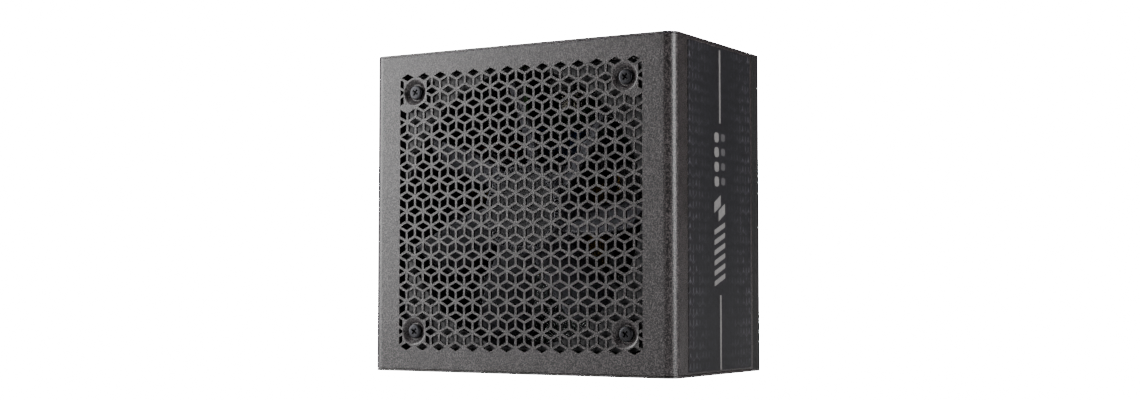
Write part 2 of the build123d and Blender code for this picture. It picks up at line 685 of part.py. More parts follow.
# ---- mains inlet and switch ----
def make_inlet():
    z = HEIGHT
    body = make_face(Polyline(*inlet_cut(0), close=True))
    body = Pos(0, 0, -INLET_DEEP) * extrude(body, amount=INLET_DEEP)
    rim = Pos(0, 0, 0) * extrude(make_face(Polyline(*inlet_cut(INLET_FLANGE), close=True)), amount=INLET_FLANGE_RISE)
    cut = 4.2
    half_x = CAVITY_WIDE / 2
    half_y = CAVITY_TALL / 2
    hole = make_face(Polyline((-half_x, -half_y), (half_x, -half_y), (half_x, half_y - cut), (half_x - cut, half_y),
                              (-half_x + cut, half_y), (-half_x, half_y - cut), close=True))
    shell = body + rim
    shell -= Pos(0, 0, INLET_FLANGE_RISE - CAVITY_DEEP) * extrude(hole, amount=CAVITY_DEEP + 1)
    for x, y in PIN_PLACES:
        shell -= Pos(x, y, -INLET_DEEP) * Box(4.0 + 2 * RUNNING_GAP, 2.0 + 2 * RUNNING_GAP, 20)
    save("mains_inlet", Pos(INLET_X, INLET_Y, z) * shell)
    pins = []
    for x, y in PIN_PLACES:
        top = INLET_FLANGE_RISE - 2.5
        pin = block(x - 2, x + 2, y - 1, y + 1, -INLET_DEEP - PIN_TAB, top - 1.0)
        tip = Pos(x, y, top - 1.0) * extrude(Rectangle(4, 2), amount=1.0, taper=25)
        pins.append(Pos(INLET_X, INLET_Y, z) * (pin + tip))
    save("inlet_pins", *pins)


PIN_PLACES = [(-7.0, -2.0), (7.0, -2.0), (0.0, 2.0)]
ROCKER_Z = HEIGHT - 3.2


def make_switch():
    x, y = SWITCH_X, INLET_Y
    wide, tall = SWITCH_WIDE / 2, SWITCH_TALL / 2
    body = block(x - wide, x + wide, y - tall, y + tall, HEIGHT - SWITCH_DEEP, HEIGHT)
    body += block(x - wide - SWITCH_RIM, x + wide + SWITCH_RIM, y - tall - SWITCH_RIM, y + tall + SWITCH_RIM,
                  HEIGHT, HEIGHT + 1.5)
    room_x = ROCKER_WIDE / 2 + 0.5
    room_y = ROCKER_TALL / 2 + 1.2
    body -= block(x - room_x, x + room_x, y - room_y, y + room_y, HEIGHT - 9.5, HEIGHT + 3)
    hole = Pos(x, y, ROCKER_Z) * Rot(0, 90, 0) * Cylinder(ROCKER_PIN + RUNNING_GAP, SWITCH_WIDE - 1.0)
    body -= hole
    save("switch_housing", body)
    crown = Pos(x, y, ROCKER_Z) * Rot(0, 90, 0) * Cylinder(ROCKER_RADIUS, ROCKER_WIDE)
    rocker = block(x - ROCKER_WIDE / 2, x + ROCKER_WIDE / 2, y - ROCKER_TALL / 2, y + ROCKER_TALL / 2,
                   ROCKER_Z - 3.0, ROCKER_Z + 7.2)
    hollow = Pos(x, y, ROCKER_Z + 19.0) * Rot(0, 90, 0) * Cylinder(ROCKER_RADIUS, ROCKER_WIDE + 2)
    rocker = (rocker & crown) - hollow
    rocker += Pos(x, y, ROCKER_Z) * Rot(0, 90, 0) * Cylinder(ROCKER_PIN, SWITCH_WIDE - 1.6)
    pivot = Pos(x, y, ROCKER_Z)
    save("switch_rocker", pivot * Rot(-ROCKER_TILT, 0, 0) * pivot.inverse() * rocker)
    tabs = []
    for dy in (-5.0, 5.0):
        tabs.append(block(x - 2.4, x + 2.4, y + dy - 0.4, y + dy + 0.4, HEIGHT - SWITCH_DEEP - 8, HEIGHT - SWITCH_DEEP))
    save("switch_terminals", *tabs)


# ---- main board and the parts that stand on it ----
def standoff_places():
    inset = 7.0
    xs = (-BOARD_SIDE + inset, BOARD_SIDE - inset)
    zs = (BOARD_LOW + inset, BOARD_HIGH - inset)
    return [(x, z) for x in xs for z in zs]


def make_main_board():
    plane = Plane(origin=(0, BOARD_FRONT, 0), x_dir=(1, 0, 0), z_dir=(0, -1, 0))
    board = pierced(rectangle(-BOARD_SIDE, BOARD_SIDE, BOARD_LOW, BOARD_HIGH), [], plane, -BOARD)
    posts = []
    screws = []
    for x, z in standoff_places():
        board -= rod_y(x, z, BOARD_FRONT - 1, BOARD_BACK + 1, BOARD_HOLE_RADIUS)
        post = rod_y(x, z, BOARD_BACK, BASE_IN + EMBOSS, STANDOFF_RADIUS)
        posts.append(post - rod_y(x, z, BOARD_BACK - 1, BASE_IN - 0.6, BOARD_SCREW_RADIUS + RUNNING_GAP))
        head = turned_y(x, z, [
            (0, BOARD_FRONT - BOARD_SCREW_RISE), (BOARD_SCREW_HEAD * 0.7, BOARD_FRONT - BOARD_SCREW_RISE),
            (BOARD_SCREW_HEAD, BOARD_FRONT - BOARD_SCREW_RISE * 0.5), (BOARD_SCREW_HEAD, BOARD_FRONT),
            (BOARD_SCREW_RADIUS, BOARD_FRONT), (BOARD_SCREW_RADIUS, BOARD_BACK + 3.5), (0, BOARD_BACK + 3.5)])
        screws.append(head - Pos(x, BOARD_FRONT - BOARD_SCREW_RISE, z) * Box(3.2, 1.6, 0.7))
    save("main_board", board)
    save("board_standoffs", *posts)
    save("board_screws", *screws)
    film_y = BASE_IN - 1.2
    film = block(-BOARD_SIDE + 1, BOARD_SIDE - 1, film_y, film_y + FILM, BOARD_LOW + 1, BOARD_HIGH - 1)
    for x, z in standoff_places():
        film -= rod_y(x, z, film_y - 1, film_y + 2, STANDOFF_RADIUS + 0.2)
    save("insulating_sheet", film)


def stand(x, z, wide, tall, high):
    """A block that stands on the board, given its middle, its size along X and Z and its height."""
    return block(x - wide / 2, x + wide / 2, BOARD_FRONT - high, BOARD_FRONT, z - tall / 2, z + tall / 2)


def can(x, z, radius, high):
    """An upright round capacitor with a rounded rim and a beaded groove."""
    top = BOARD_FRONT - high
    bead = BOARD_FRONT - 3.0
    return turned_y(x, z, [
        (0, BOARD_FRONT), (radius, BOARD_FRONT), (radius, bead + 0.8), (radius - 0.5, bead), (radius, bead - 0.8),
        (radius, top + 0.6), (radius - 0.6, top), (0, top)])


def wound_ring(x, z, outer, inner, width):
    """A ring core standing on edge, wound all round."""
    y = BOARD_FRONT - outer
    ring = Cylinder(outer, width) - Cylinder(inner, width + 2)
    ring = fillet(ring.edges().filter_by(GeomType.CIRCLE), min(width, outer - inner) * 0.3)
    return Pos(x, y, z) * Rot(0, 90, 0) * ring


def transformer(x, z, wide, tall, high):
    """Two E-shaped cores closed round a wound bobbin."""
    leg = tall * 0.2
    core = stand(x, z, wide * 0.55, tall, high)
    window = stand(x, z, wide * 0.55 + 2, tall - 2 * leg, high - 2 * leg)
    core -= Pos(0, -leg, 0) * window
    coil = stand(x, z, wide, tall - 2 * leg - 1.0, high - 2 * leg - 1.0)
    coil = Pos(0, -leg - 0.5, 0) * coil
    coil = fillet(coil.edges().filter_by(Axis.Z), 3.0)
    foot = stand(x, z, wide * 0.5, tall - 2 * leg - 1.0, leg + 0.5)
    return core + coil + foot


def heatsink(x, z, length, high, spread):
    """A plate on edge along Z with fins folded over at its free edge."""
    plate = stand(x, z, 3.0, length, high)
    count = max(3, int(length / 9))
    for k in range(count):
        fin_z = z - length / 2 + (k + 0.5) * length / count
        plate += Pos(0, -(high - 12), 0) * stand(x + spread / 2, fin_z, abs(spread), 3.6, 12)
    return plate


def mains_end_parts():
    top = BOARD_HIGH
    left = -BOARD_SIDE
    right = BOARD_SIDE
    save("filter_chokes", *[wound_ring(left + x, top - 40, 12, 6, 11) for x in (14, 34)])
    save("x_capacitors", *[stand(left + x, top - 57, 18, 9, 16) for x in (14, 38)])
    save("y_capacitors", *[rod_y(left + x, top - 36, BOARD_FRONT - 8, BOARD_FRONT, 3.5) for x in (44, 53)])
    save("mains_fuse", Pos(left + 50, BOARD_FRONT - 4, top - 52) * Cylinder(2.6, 20))
    save("surge_varistor", fillet(stand(left + 63, top - 34, 5, 13, 15).edges().filter_by(Axis.X), 5.0))
    save("inrush_relay", stand(left + 76, top - 38, 11, 16, 15))
    save("rectifier_bridge", stand(right - 40, top - 24, 4.6, 26, 20))
    save("rectifier_heatsink", heatsink(right - 36.2, top - 24, 32, min(ROOM, 32.0), 14))
    save("correction_choke", wound_ring(right - 14, top - 50, 15, 7, 16))


def middle_parts():
    left = -BOARD_SIDE
    right = BOARD_SIDE
    low = BOARD_LOW
    save("bulk_capacitors", can(left + 15.5, low + 42, 14, ROOM), can(left + 20, low + 12, 9, ROOM))
    save("primary_heatsink", heatsink(left + 36, low + 34, 44, min(ROOM, 34.0), 9))
    save("switching_transistors", *[stand(left + 32.1, low + 20 + 16 * k, 4.6, 11, 20) for k in range(2)])
    save("main_transformer", transformer(-4, low + 34, 34, 36, min(ROOM, 34.0)))
    save("resonant_choke", transformer(-4, low + 62.5, 20, 18, 18))
    save("standby_transformer", transformer(22, low + 66, 18, 18, 17))
    save("output_heatsink", heatsink(20, low + 36, 40, min(ROOM, 30.0), 8))
    save("output_capacitors", *[can(34 + 10 * i, low + 8 + 10 * j, 4.2, 18) for i in range(3) for j in range(2)])
    save("converter_board", stand(right - 8, low + 38.5, BOARD, 28, min(ROOM, 28.0)))
    save("control_board", stand(right - 22, low + 38.5, BOARD, 28, min(ROOM, 24.0)))


def make_leads():
    """Short leads inside the case, of straight runs joined by arcs, and what they end in."""
    tail = HEIGHT - INLET_DEEP - PIN_TAB
    for name, (dx, dy), reach in (("live_lead", PIN_PLACES[0], 9.0), ("neutral_lead", PIN_PLACES[1], 5.5)):
        x = INLET_X + dx
        y = INLET_Y + dy
        path = [(x, y, tail), (x, y, tail - reach), (x, BOARD_FRONT, tail - reach)]
        save(name, tube_along(path, [3.0 if reach > 8 else 2.4], LEAD))
    x, y = EARTH_SCREW
    inside = HEIGHT - SHEET
    ring = rod_z(x, y, inside - 0.8, inside, 3.4)
    nut = Pos(x, y, inside - 3.4) * extrude(RegularPolygon(3.2, 6), amount=2.6)
    save("earth_screw", ring + nut + rod_z(x, y, inside - 5.0, inside, 1.5))
    start = (INLET_X + PIN_PLACES[2][0], INLET_Y + PIN_PLACES[2][1])
    drop = tail - 6.0
    path = [(*start, tail), (*start, drop), (x - 4.6, y, drop), (x - 4.6, y, inside - 0.5)]
    save("earth_lead", tube_along(path, [2.6, 4.0], LEAD))
    hub_x = BORE_RADIUS * cos(radians(45)) - 4
    y = FAN_BACK + LEAD / 2 + 0.3
    plug_x, plug_z = 20.0, BOARD_HIGH - 24.0
    plug = stand(plug_x, plug_z, 8.0, 6.0, 7.0)
    save("fan_plug", plug)
    path = [(hub_x, y, MID_Z + hub_x), (plug_x, y, plug_z), (plug_x, BOARD_FRONT - 7.0, plug_z)]
    save("fan_lead", tube_along(path, [5.0], LEAD))


def make_socket_end():
    nodes = {}
    pins = []
    holes = []
    tall = 2 * CELL_PITCH + 2 * SOCKET_WALL
    for name, columns, x, y in socket_layout():
        wide = columns * CELL_PITCH + 2 * SOCKET_WALL
        outer = rectangle(x - wide / 2, x + wide / 2, y - tall / 2, y + tall / 2)
        cells = []
        slim = []
        for u, v in cell_grid(columns):
            cells.append(rectangle(x + u - CELL / 2, x + u + CELL / 2, y + v - CELL / 2, y + v + CELL / 2))
            half = PIN_HOLE / 2
            slim.append(rectangle(x + u - half, x + u + half, y + v - half, y + v + half))
            pins.append(Pos(x + u, y + v, 0) * block(-PIN / 2, PIN / 2, -PIN / 2, PIN / 2,
                                                     SOCKET_SET + PIN_SET, MODULE_TOP + PIN_TAIL))
        holes += slim
        front = pierced(outer, cells, Plane(origin=(0, 0, SOCKET_SET)), CELL_DEEP)
        rear = pierced(outer, slim, Plane(origin=(0, 0, SOCKET_SET + CELL_DEEP)), SOCKET_DEEP - CELL_DEEP)
        latch = block(x - 1.7, x + 1.7, y - tall / 2 - FIT_GAP / 2, y - tall / 2 + 0.2, SOCKET_SET, SOCKET_SET + 2)
        nodes.setdefault(name, []).append(front + rear + latch)
    for name, bodies in nodes.items():
        save(name, *bodies)
    save("socket_pins", *pins)
    low_y = BASE_IN - 50.0
    board = pierced(rectangle(-SIDE + 8, SIDE - 8, low_y, BASE_IN - 5), holes, Plane(origin=(0, 0, SOCKET_Z)), BOARD)
    save("socket_board", board)


def make_bus_bars():
    """Flat copper bars from the main board to the socket board."""
    bars = []
    for x in (10.0, 26.0, 42.0):
        bars.append(block(x - 4, x + 4, BOARD_FRONT - 1.0, BOARD_FRONT, MODULE_TOP, BOARD_LOW + 3.0))
    save("bus_bars", *bars)


make_fan_grille()
make_fan_cover()
make_base_tray()
make_vent("side_vent", VENT_SIDE)
make_vent("front_vent", VENT_FRONT)
make_mains_panel()
make_socket_panel()
make_cover_screws()
make_fan_screws()
make_labels()
make_fan_frame()
make_fan_rotor()
make_motor()
make_air_baffle()
make_inlet()
make_switch()
make_main_board()
mains_end_parts()
middle_parts()
make_leads()
make_socket_end()
make_bus_bars()
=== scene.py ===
# %% [markdown]
# # A modular computer power supply
#
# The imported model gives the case, the fan, the sockets and everything that moves. This lesson dresses that
# frame: it keeps the parts whose shape is already right, models again the ones that the eye stops at, and
# gives each one a finish built from nodes. The case stands on its socket end, with the fan face towards us.

import json
import math

import bpy
from mathutils import Matrix, Vector


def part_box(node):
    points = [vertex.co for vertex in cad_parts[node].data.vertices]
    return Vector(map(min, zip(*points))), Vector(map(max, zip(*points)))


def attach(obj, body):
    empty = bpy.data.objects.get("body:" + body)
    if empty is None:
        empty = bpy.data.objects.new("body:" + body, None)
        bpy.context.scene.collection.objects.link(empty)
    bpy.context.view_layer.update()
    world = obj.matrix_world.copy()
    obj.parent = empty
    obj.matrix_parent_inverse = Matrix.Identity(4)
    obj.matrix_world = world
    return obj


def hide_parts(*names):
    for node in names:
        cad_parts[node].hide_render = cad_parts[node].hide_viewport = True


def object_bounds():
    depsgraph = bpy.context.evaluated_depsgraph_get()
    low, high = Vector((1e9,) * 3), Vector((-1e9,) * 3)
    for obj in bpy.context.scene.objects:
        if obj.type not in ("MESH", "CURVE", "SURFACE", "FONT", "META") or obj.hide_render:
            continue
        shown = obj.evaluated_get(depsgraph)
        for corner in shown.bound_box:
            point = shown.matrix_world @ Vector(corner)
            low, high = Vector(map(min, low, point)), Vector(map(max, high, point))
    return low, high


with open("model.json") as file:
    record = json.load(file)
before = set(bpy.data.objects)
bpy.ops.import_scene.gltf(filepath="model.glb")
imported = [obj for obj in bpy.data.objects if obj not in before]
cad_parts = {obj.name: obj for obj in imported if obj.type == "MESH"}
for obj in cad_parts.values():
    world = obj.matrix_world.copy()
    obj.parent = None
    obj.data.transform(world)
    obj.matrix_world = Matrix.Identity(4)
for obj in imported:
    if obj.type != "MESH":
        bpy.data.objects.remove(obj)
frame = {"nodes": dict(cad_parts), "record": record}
nodes = frame["nodes"]
cad_low, cad_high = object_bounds()
print("CAD box", [round(v * 1000, 1) for v in cad_high - cad_low], "mm")

# %% [markdown]
# ## Small tools
#
# Sizes on the real thing are spoken of in millimetres and Blender works in metres, so one helper turns one
# into the other. Colours are given as sRGB hex values, and a shader needs linear light. Everything
# else here is what a hand would do over and over: drop the selection, add a primitive, pick faces by where
# they are, run a modifier and apply it, and hand the finished piece to the body that it moves with.

# %% Units and colours
MM = 0.001


def mm(*values):
    """Millimetres to metres, one value or several."""
    if len(values) == 1:
        return values[0] * MM
    return Vector([v * MM for v in values])


def linear(code):
    """An sRGB hex colour as linear RGBA."""
    parts = [int(code[i:i + 2], 16) / 255 for i in (0, 2, 4)]
    return [c / 12.92 if c <= 0.04045 else ((c + 0.055) / 1.055) ** 2.4 for c in parts] + [1.0]


def middle(name):
    """The middle of a CAD node's box."""
    low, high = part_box(name)
    return (low + high) / 2


# %% Selecting
def clear_selection():
    """Operators act on all that is selected, so each step starts from nothing."""
    if bpy.context.object and bpy.context.object.mode != "OBJECT":
        bpy.ops.object.mode_set(mode="OBJECT")
    bpy.ops.object.select_all(action="DESELECT")


def take(piece):
    """Makes one object the selected and active one."""
    clear_selection()
    piece.hide_viewport = False
    piece.select_set(True)
    bpy.context.view_layer.objects.active = piece
    return piece


def named(name):
    """The object that an operator has just added, under its own name."""
    piece = bpy.context.object
    piece.name = name
    piece.data.name = name
    return piece


def settle(piece):
    """Puts a piece's place, turn and size into its mesh, so that its object sits at the origin."""
    take(piece)
    bpy.ops.object.transform_apply(location=True, rotation=True, scale=True)
    return piece


# %% Picking faces and edges
def edit_faces(piece, test):
    """Opens edit mode with only the faces selected whose centre and normal pass the test."""
    take(piece)
    for polygon in piece.data.polygons:
        polygon.select = test(polygon.center, polygon.normal)
    for edge in piece.data.edges:
        edge.select = False
    for vertex in piece.data.vertices:
        vertex.select = False
    chosen = [p for p in piece.data.polygons if p.select]
    for polygon in chosen:
        for index in polygon.vertices:
            piece.data.vertices[index].select = True
    bpy.ops.object.mode_set(mode="EDIT")
    bpy.ops.mesh.select_mode(type="FACE")
    return len(chosen)


def edit_edges(piece, test):
    """Opens edit mode with only the edges selected whose two ends pass the test."""
    take(piece)
    points = piece.data.vertices
    for polygon in piece.data.polygons:
        polygon.select = False
    for vertex in points:
        vertex.select = False
    for edge in piece.data.edges:
        edge.select = test(points[edge.vertices[0]].co, points[edge.vertices[1]].co)
    bpy.ops.object.mode_set(mode="EDIT")
    bpy.ops.mesh.select_mode(type="EDGE")


def done_editing():
    """Back to object mode, which writes the edits to the mesh."""
    bpy.ops.object.mode_set(mode="OBJECT")


# %% Modifiers and shading
def modify(piece, kind, **settings):
    """Adds a modifier, sets it and applies it."""
    take(piece)
    modifier = piece.modifiers.new(kind.lower(), kind)
    for key, value in settings.items():
        setattr(modifier, key, value)
    bpy.ops.object.modifier_apply(modifier=modifier.name)
    return piece


def smooth(piece, degrees=35):
    """Shades smooth where faces meet gently and sharp where they don't."""
    take(piece)
    bpy.ops.object.shade_smooth_by_angle(angle=math.radians(degrees))
    return piece


def tidy_normals(piece):
    """Merges doubles and turns every face outwards."""
    take(piece)
    bpy.ops.object.mode_set(mode="EDIT")
    bpy.ops.mesh.select_all(action="SELECT")
    bpy.ops.mesh.remove_doubles(threshold=mm(0.001))
    bpy.ops.mesh.normals_make_consistent(inside=False)
    done_editing()
    return piece


# %% Joining, copying and handing over
def join(name, pieces):
    """Joins pieces into one object."""
    clear_selection()
    for piece in pieces:
        piece.select_set(True)
    bpy.context.view_layer.objects.active = pieces[0]
    if len(pieces) > 1:
        bpy.ops.object.join()
    return named(name)


def twin(piece, name):
    """A copy with a mesh of its own."""
    other = piece.copy()
    other.data = piece.data.copy()
    other.name = name
    bpy.context.scene.collection.objects.link(other)
    return other


def hand_over(piece, body, finish, slot, *replaced):
    """Gives a finished piece its material, the body that it rides on and the nodes that it stands for."""
    settle(piece)
    piece.data.materials.clear()
    piece.data.materials.append(finish)
    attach(piece, body)
    if replaced:
        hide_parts(*replaced)
    print(piece.name, len(piece.data.polygons), "faces on", body)
    return piece


# %% [markdown]
# ## Eased copies of CAD parts
#
# Sheet metal leaves the press with its cut edges slightly rolled, and a moulded part has a small radius on
# every corner. CAD edges are perfectly sharp and never catch the light. Where a part's shape is right but its
# edges are too clean, we copy its mesh, merge its loose triangles, clear the seams in its flat faces and run
# a fine bevel along what is still sharp. Where two nodes are one sheet on the real thing, the faces that are
# hidden in the joint are deleted first, so that the merge makes one skin. Weighted normals then keep the big
# flats flat.


# %% Eased copy
def eased(name, source_names, width, segments=2, angle=30, smooth_angle=38, drop=None):
    """A joined copy of CAD nodes, less any dropped faces, its sharp edges rounded by width in millimetres."""
    copies = []
    for source in source_names:
        copy = twin(nodes[source], name + "_" + source)
        copy.parent = None
        for key in list(copy.keys()):
            del copy[key]
        copies.append(copy)
    piece = join(name, copies)
    if drop:
        found = edit_faces(piece, drop)
        bpy.ops.mesh.delete(type="FACE")
        print(name, "faces in the joint", found)
    edit_faces(piece, lambda center, normal: True)
    bpy.ops.mesh.select_all(action="SELECT")
    bpy.ops.mesh.remove_doubles(threshold=mm(0.002))
    bpy.ops.mesh.dissolve_limited(angle_limit=math.radians(1.0))
    done_editing()
    modify(piece, "BEVEL", width=mm(width), segments=segments, limit_method="ANGLE",
           angle_limit=math.radians(angle), use_clamp_overlap=True)
    smooth(piece, smooth_angle)
    return modify(piece, "WEIGHTED_NORMAL", weight=50, keep_sharp=True)


# %% [markdown]
# ## Building a finish from nodes
#
# A finish is one Principled shader and a few patterns that drive its colour, roughness and bump. One helper
# adds any node, sets its inputs and links what feeds it. Patterns read Object coordinates, and because every
# object sits at the origin those are real metres, so a pattern's scale is one over its grain size in metres.

# %% Node helper
def new_finish(name):
    """An empty material with its Principled shader and Object coordinates."""
    material = bpy.data.materials.new(name)
    material.use_nodes = True
    tree = material.node_tree
    shader = tree.nodes["Principled BSDF"]
    place = tree.nodes.new("ShaderNodeTexCoord").outputs["Object"]
    return material, tree, shader, place


def add(tree, kind, feeds=None, stops=None, **settings):
    """Adds a node with its settings and links. A feed is a value, a node or a socket; stops fill a ramp."""
    node = tree.nodes.new("ShaderNode" + kind)
    for key, value in settings.items():
        setattr(node, key, value)
    for key, value in (feeds or {}).items():
        source = value.outputs[0] if isinstance(value, bpy.types.Node) else value
        if isinstance(source, bpy.types.NodeSocket):
            tree.links.new(source, node.inputs[key])
        else:
            node.inputs[key].default_value = source
    for _ in (stops or [])[2:]:
        node.color_ramp.elements.new(0.5)
    for element, (position, code) in zip(node.color_ramp.elements if stops else [], stops or []):
        element.position = position
        element.color = linear(code)
    return node


def per_mm(size):
    """The texture scale that makes one cell of a pattern this many millimetres wide."""
    return 1.0 / mm(size)


def drive(tree, shader, **sources):
    """Links pattern nodes to the shader's inputs."""
    for key, source in sources.items():
        tree.links.new(source.outputs[0], shader.inputs[key.replace("_", " ").title()])


# %% [markdown]
# ## Textured powder coat
#
# The case is steel dusted with polyester powder and baked, so that it melts into a skin of tiny rounded
# grains. The real grain is about a third of a millimetre; it is drawn near half a millimetre, because finer
# than that it would blur away at this distance. The grains tilt the surface a little, so the sheen breaks
# into sparkle, and their colour follows their height: darker in the hollows as painted shade and lighter on
# the tops as painted highlight. The base tray wears a duller coat, its colour darkened as painted shade.

# %% Powder coat
def powder_coat(name, deep, middle_tone, light, roughest, smoothest):
    """Black polyester powder coat on steel: dark, softly shiny, grainy."""
    material, tree, shader, place = new_finish(name)
    grain = add(tree, "TexNoise", {"Vector": place, "Scale": per_mm(0.55), "Detail": 2.0, "Roughness": 0.6})
    cloud = add(tree, "TexNoise", {"Vector": place, "Scale": per_mm(14), "Detail": 2.0})
    # The grain's colour follows its bump height: darker in the hollows as painted shade, lighter on the tops
    # as painted highlight.
    grain_shade_and_highlight = add(tree, "ValToRGB", {"Fac": grain}, stops=[(0.36, deep), (0.5, middle_tone), (0.64, light)])
    tone = add(tree, "ValToRGB", {"Fac": cloud}, stops=[(0.3, "e4e4e4"), (0.7, "ffffff")])
    color = add(tree, "MixRGB", {"Fac": 1.0, "Color1": grain_shade_and_highlight, "Color2": tone}, blend_type="MULTIPLY")
    rough = add(tree, "MapRange", {"Value": grain, "From Min": 0.3, "From Max": 0.7,
                                   "To Min": roughest, "To Max": smoothest})
    relief = add(tree, "Bump", {"Height": grain, "Strength": 0.95, "Distance": mm(0.12)})
    drive(tree, shader, base_color=color, roughness=rough, normal=relief)
    return material


# %% [markdown]
# ## Printed film
#
# The label is a satin polyester film, printed dark with a faint purple cast. Its print carries upright broken
# lines with small slanted ticks between them, like the field of blocks on the fan face drawn very small. They
# are strongest at the two long edges and lost in the middle. The pattern is worked out from the height and
# the depth along the case, so it lies flat on the label and stays put when the camera moves.

# %% Label film
LABEL_LOW, LABEL_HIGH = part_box("side_label")


def stroke(tree, source, spacing, width, strength=1.0):
    """Thin lines that repeat: 1 on the line, 0 between, from a length that runs across them."""
    phase = add(tree, "Math", {0: source, 1: mm(spacing / 2)}, operation="PINGPONG")
    return add(tree, "MapRange", {"Value": phase, "From Min": mm(width * 0.4), "From Max": mm(width * 0.7),
                                  "To Min": strength, "To Max": 0.0})


def label_film():
    """Satin polyester film with a faint printed pattern that fades away from its long edges."""
    material, tree, shader, place = new_finish("printed_polyester_film")
    axes = add(tree, "SeparateXYZ", {"Vector": place})
    across, up = axes.outputs["Y"], axes.outputs["Z"]
    centre = (LABEL_LOW.y + LABEL_HIGH.y) / 2
    half = (LABEL_HIGH.y - LABEL_LOW.y) / 2
    offset = add(tree, "Math", {0: across, 1: centre}, operation="SUBTRACT")
    distance = add(tree, "Math", {0: offset}, operation="ABSOLUTE")
    upright = stroke(tree, offset, 2.9, 0.34)
    dash = stroke(tree, up, 4.4, 2.4)
    side = add(tree, "Math", {0: offset, 1: mm(2.9)}, operation="PINGPONG")
    rise = add(tree, "Math", {0: side, 1: 0.75, 2: up}, operation="MULTIPLY_ADD")
    tick = stroke(tree, rise, 4.4, 0.34, 0.55)
    lines = add(tree, "Math", {0: upright, 1: dash}, operation="MULTIPLY")
    drawn = add(tree, "Math", {0: lines, 1: tick}, operation="MAXIMUM")
    patch = add(tree, "TexNoise", {"Vector": place, "Scale": per_mm(3.2), "Detail": 2.0})
    broken = add(tree, "MapRange", {"Value": patch, "From Min": 0.40, "From Max": 0.60,
                                    "To Min": 0.15, "To Max": 1.0})
    fade = add(tree, "MapRange", {"Value": distance, "From Min": half * 0.25, "From Max": half * 0.95,
                                  "To Min": 0.06, "To Max": 0.80})
    kept = add(tree, "Math", {0: drawn, 1: broken}, operation="MULTIPLY")
    ink = add(tree, "Math", {0: kept, 1: fade}, operation="MULTIPLY")
    grain = add(tree, "TexNoise", {"Vector": place, "Scale": per_mm(0.9), "Detail": 2.0})
    ground = add(tree, "ValToRGB", {"Fac": grain}, stops=[(0.35, "161518"), (0.65, "201f23")])
    color = add(tree, "MixRGB", {"Fac": ink, "Color1": ground, "Color2": linear("6a6970")})
    relief = add(tree, "Bump", {"Height": grain, "Strength": 0.25, "Distance": mm(0.02)})
    drive(tree, shader, base_color=color, normal=relief)
    shader.inputs["Roughness"].default_value = 0.46
    shader.inputs["Specular IOR Level"].default_value = 0.35
    return material


def print_ink(name, deep, light):
    """Screen-printed ink: flat, dry and very slightly mottled."""
    material, tree, shader, place = new_finish(name)
    mottle = add(tree, "TexNoise", {"Vector": place, "Scale": per_mm(0.8), "Detail": 2.0})
    tone = add(tree, "ValToRGB", {"Fac": mottle}, stops=[(0.3, deep), (0.7, light)])
    drive(tree, shader, base_color=tone)
    shader.inputs["Roughness"].default_value = 0.6
    return material


# %% [markdown]
# ## Moulded plastics
#
# The fan is PBT filled with glass fibre, which moulds to a dull dark grey with faint flow marks; the frame
# wears that tone, and the impeller's copy is a much lighter grey as painted light, so its blades show
# through the grille. Sockets and inlet are nylon, blacker and a little shinier. The rocker is polished ABS.
# All of them differ by colour, by how rough the mould was and by how strong its fine grain is, so one section
# makes them all.

# %% Moulded plastic
def moulded(name, deep, light, roughness, grain_size=0.5, relief_depth=0.02, coat=0.0):
    """Injection-moulded plastic: an even colour with slight flow, and the mould's own fine grain."""
    material, tree, shader, place = new_finish(name)
    flow = add(tree, "TexNoise", {"Vector": place, "Scale": per_mm(9), "Detail": 3.0, "Distortion": 0.6})
    grain = add(tree, "TexNoise", {"Vector": place, "Scale": per_mm(grain_size), "Detail": 2.0})
    color = add(tree, "ValToRGB", {"Fac": flow}, stops=[(0.3, deep), (0.7, light)])
    rough = add(tree, "MapRange", {"Value": grain, "From Min": 0.3, "From Max": 0.7,
                                   "To Min": roughness - 0.06, "To Max": roughness + 0.06})
    relief = add(tree, "Bump", {"Height": grain, "Strength": 0.4, "Distance": mm(relief_depth)})
    drive(tree, shader, base_color=color, roughness=rough, normal=relief)
    shader.inputs["Coat Weight"].default_value = coat
    return material


# %% [markdown]
# ## Metals
#
# Metals take their colour from their reflection, so the base colour is that of the metal and the roughness
# says how it was finished: drawn, rolled, plated or blackened. Fine streaks along one axis stand for rolling
# or brushing; equal noise stands for plating.

# %% Metal
def metal(name, deep, light, roughness, streak=(1, 1, 1), grain_size=0.4):
    """A bare or plated metal, with streaks where streak shrinks the pattern along an axis."""
    material, tree, shader, place = new_finish(name)
    turned = add(tree, "Mapping", {"Vector": place, "Scale": streak})
    grain = add(tree, "TexNoise", {"Vector": turned, "Scale": per_mm(grain_size), "Detail": 3.0})
    color = add(tree, "ValToRGB", {"Fac": grain}, stops=[(0.25, deep), (0.75, light)])
    rough = add(tree, "MapRange", {"Value": grain, "From Min": 0.25, "From Max": 0.75,
                                   "To Min": roughness - 0.08, "To Max": roughness + 0.08})
    relief = add(tree, "Bump", {"Height": grain, "Strength": 0.3, "Distance": mm(0.02)})
    drive(tree, shader, base_color=color, roughness=rough, normal=relief)
    shader.inputs["Metallic"].default_value = 1.0
    return material


# %% [markdown]
# ## Boards and clear sheet
#
# A board is glass cloth in epoxy with copper tracks, under a green mask that shows the tracks as slightly
# raised and lighter fields. The fan's baffle is clear polyester sheet, hazy where it has been handled.

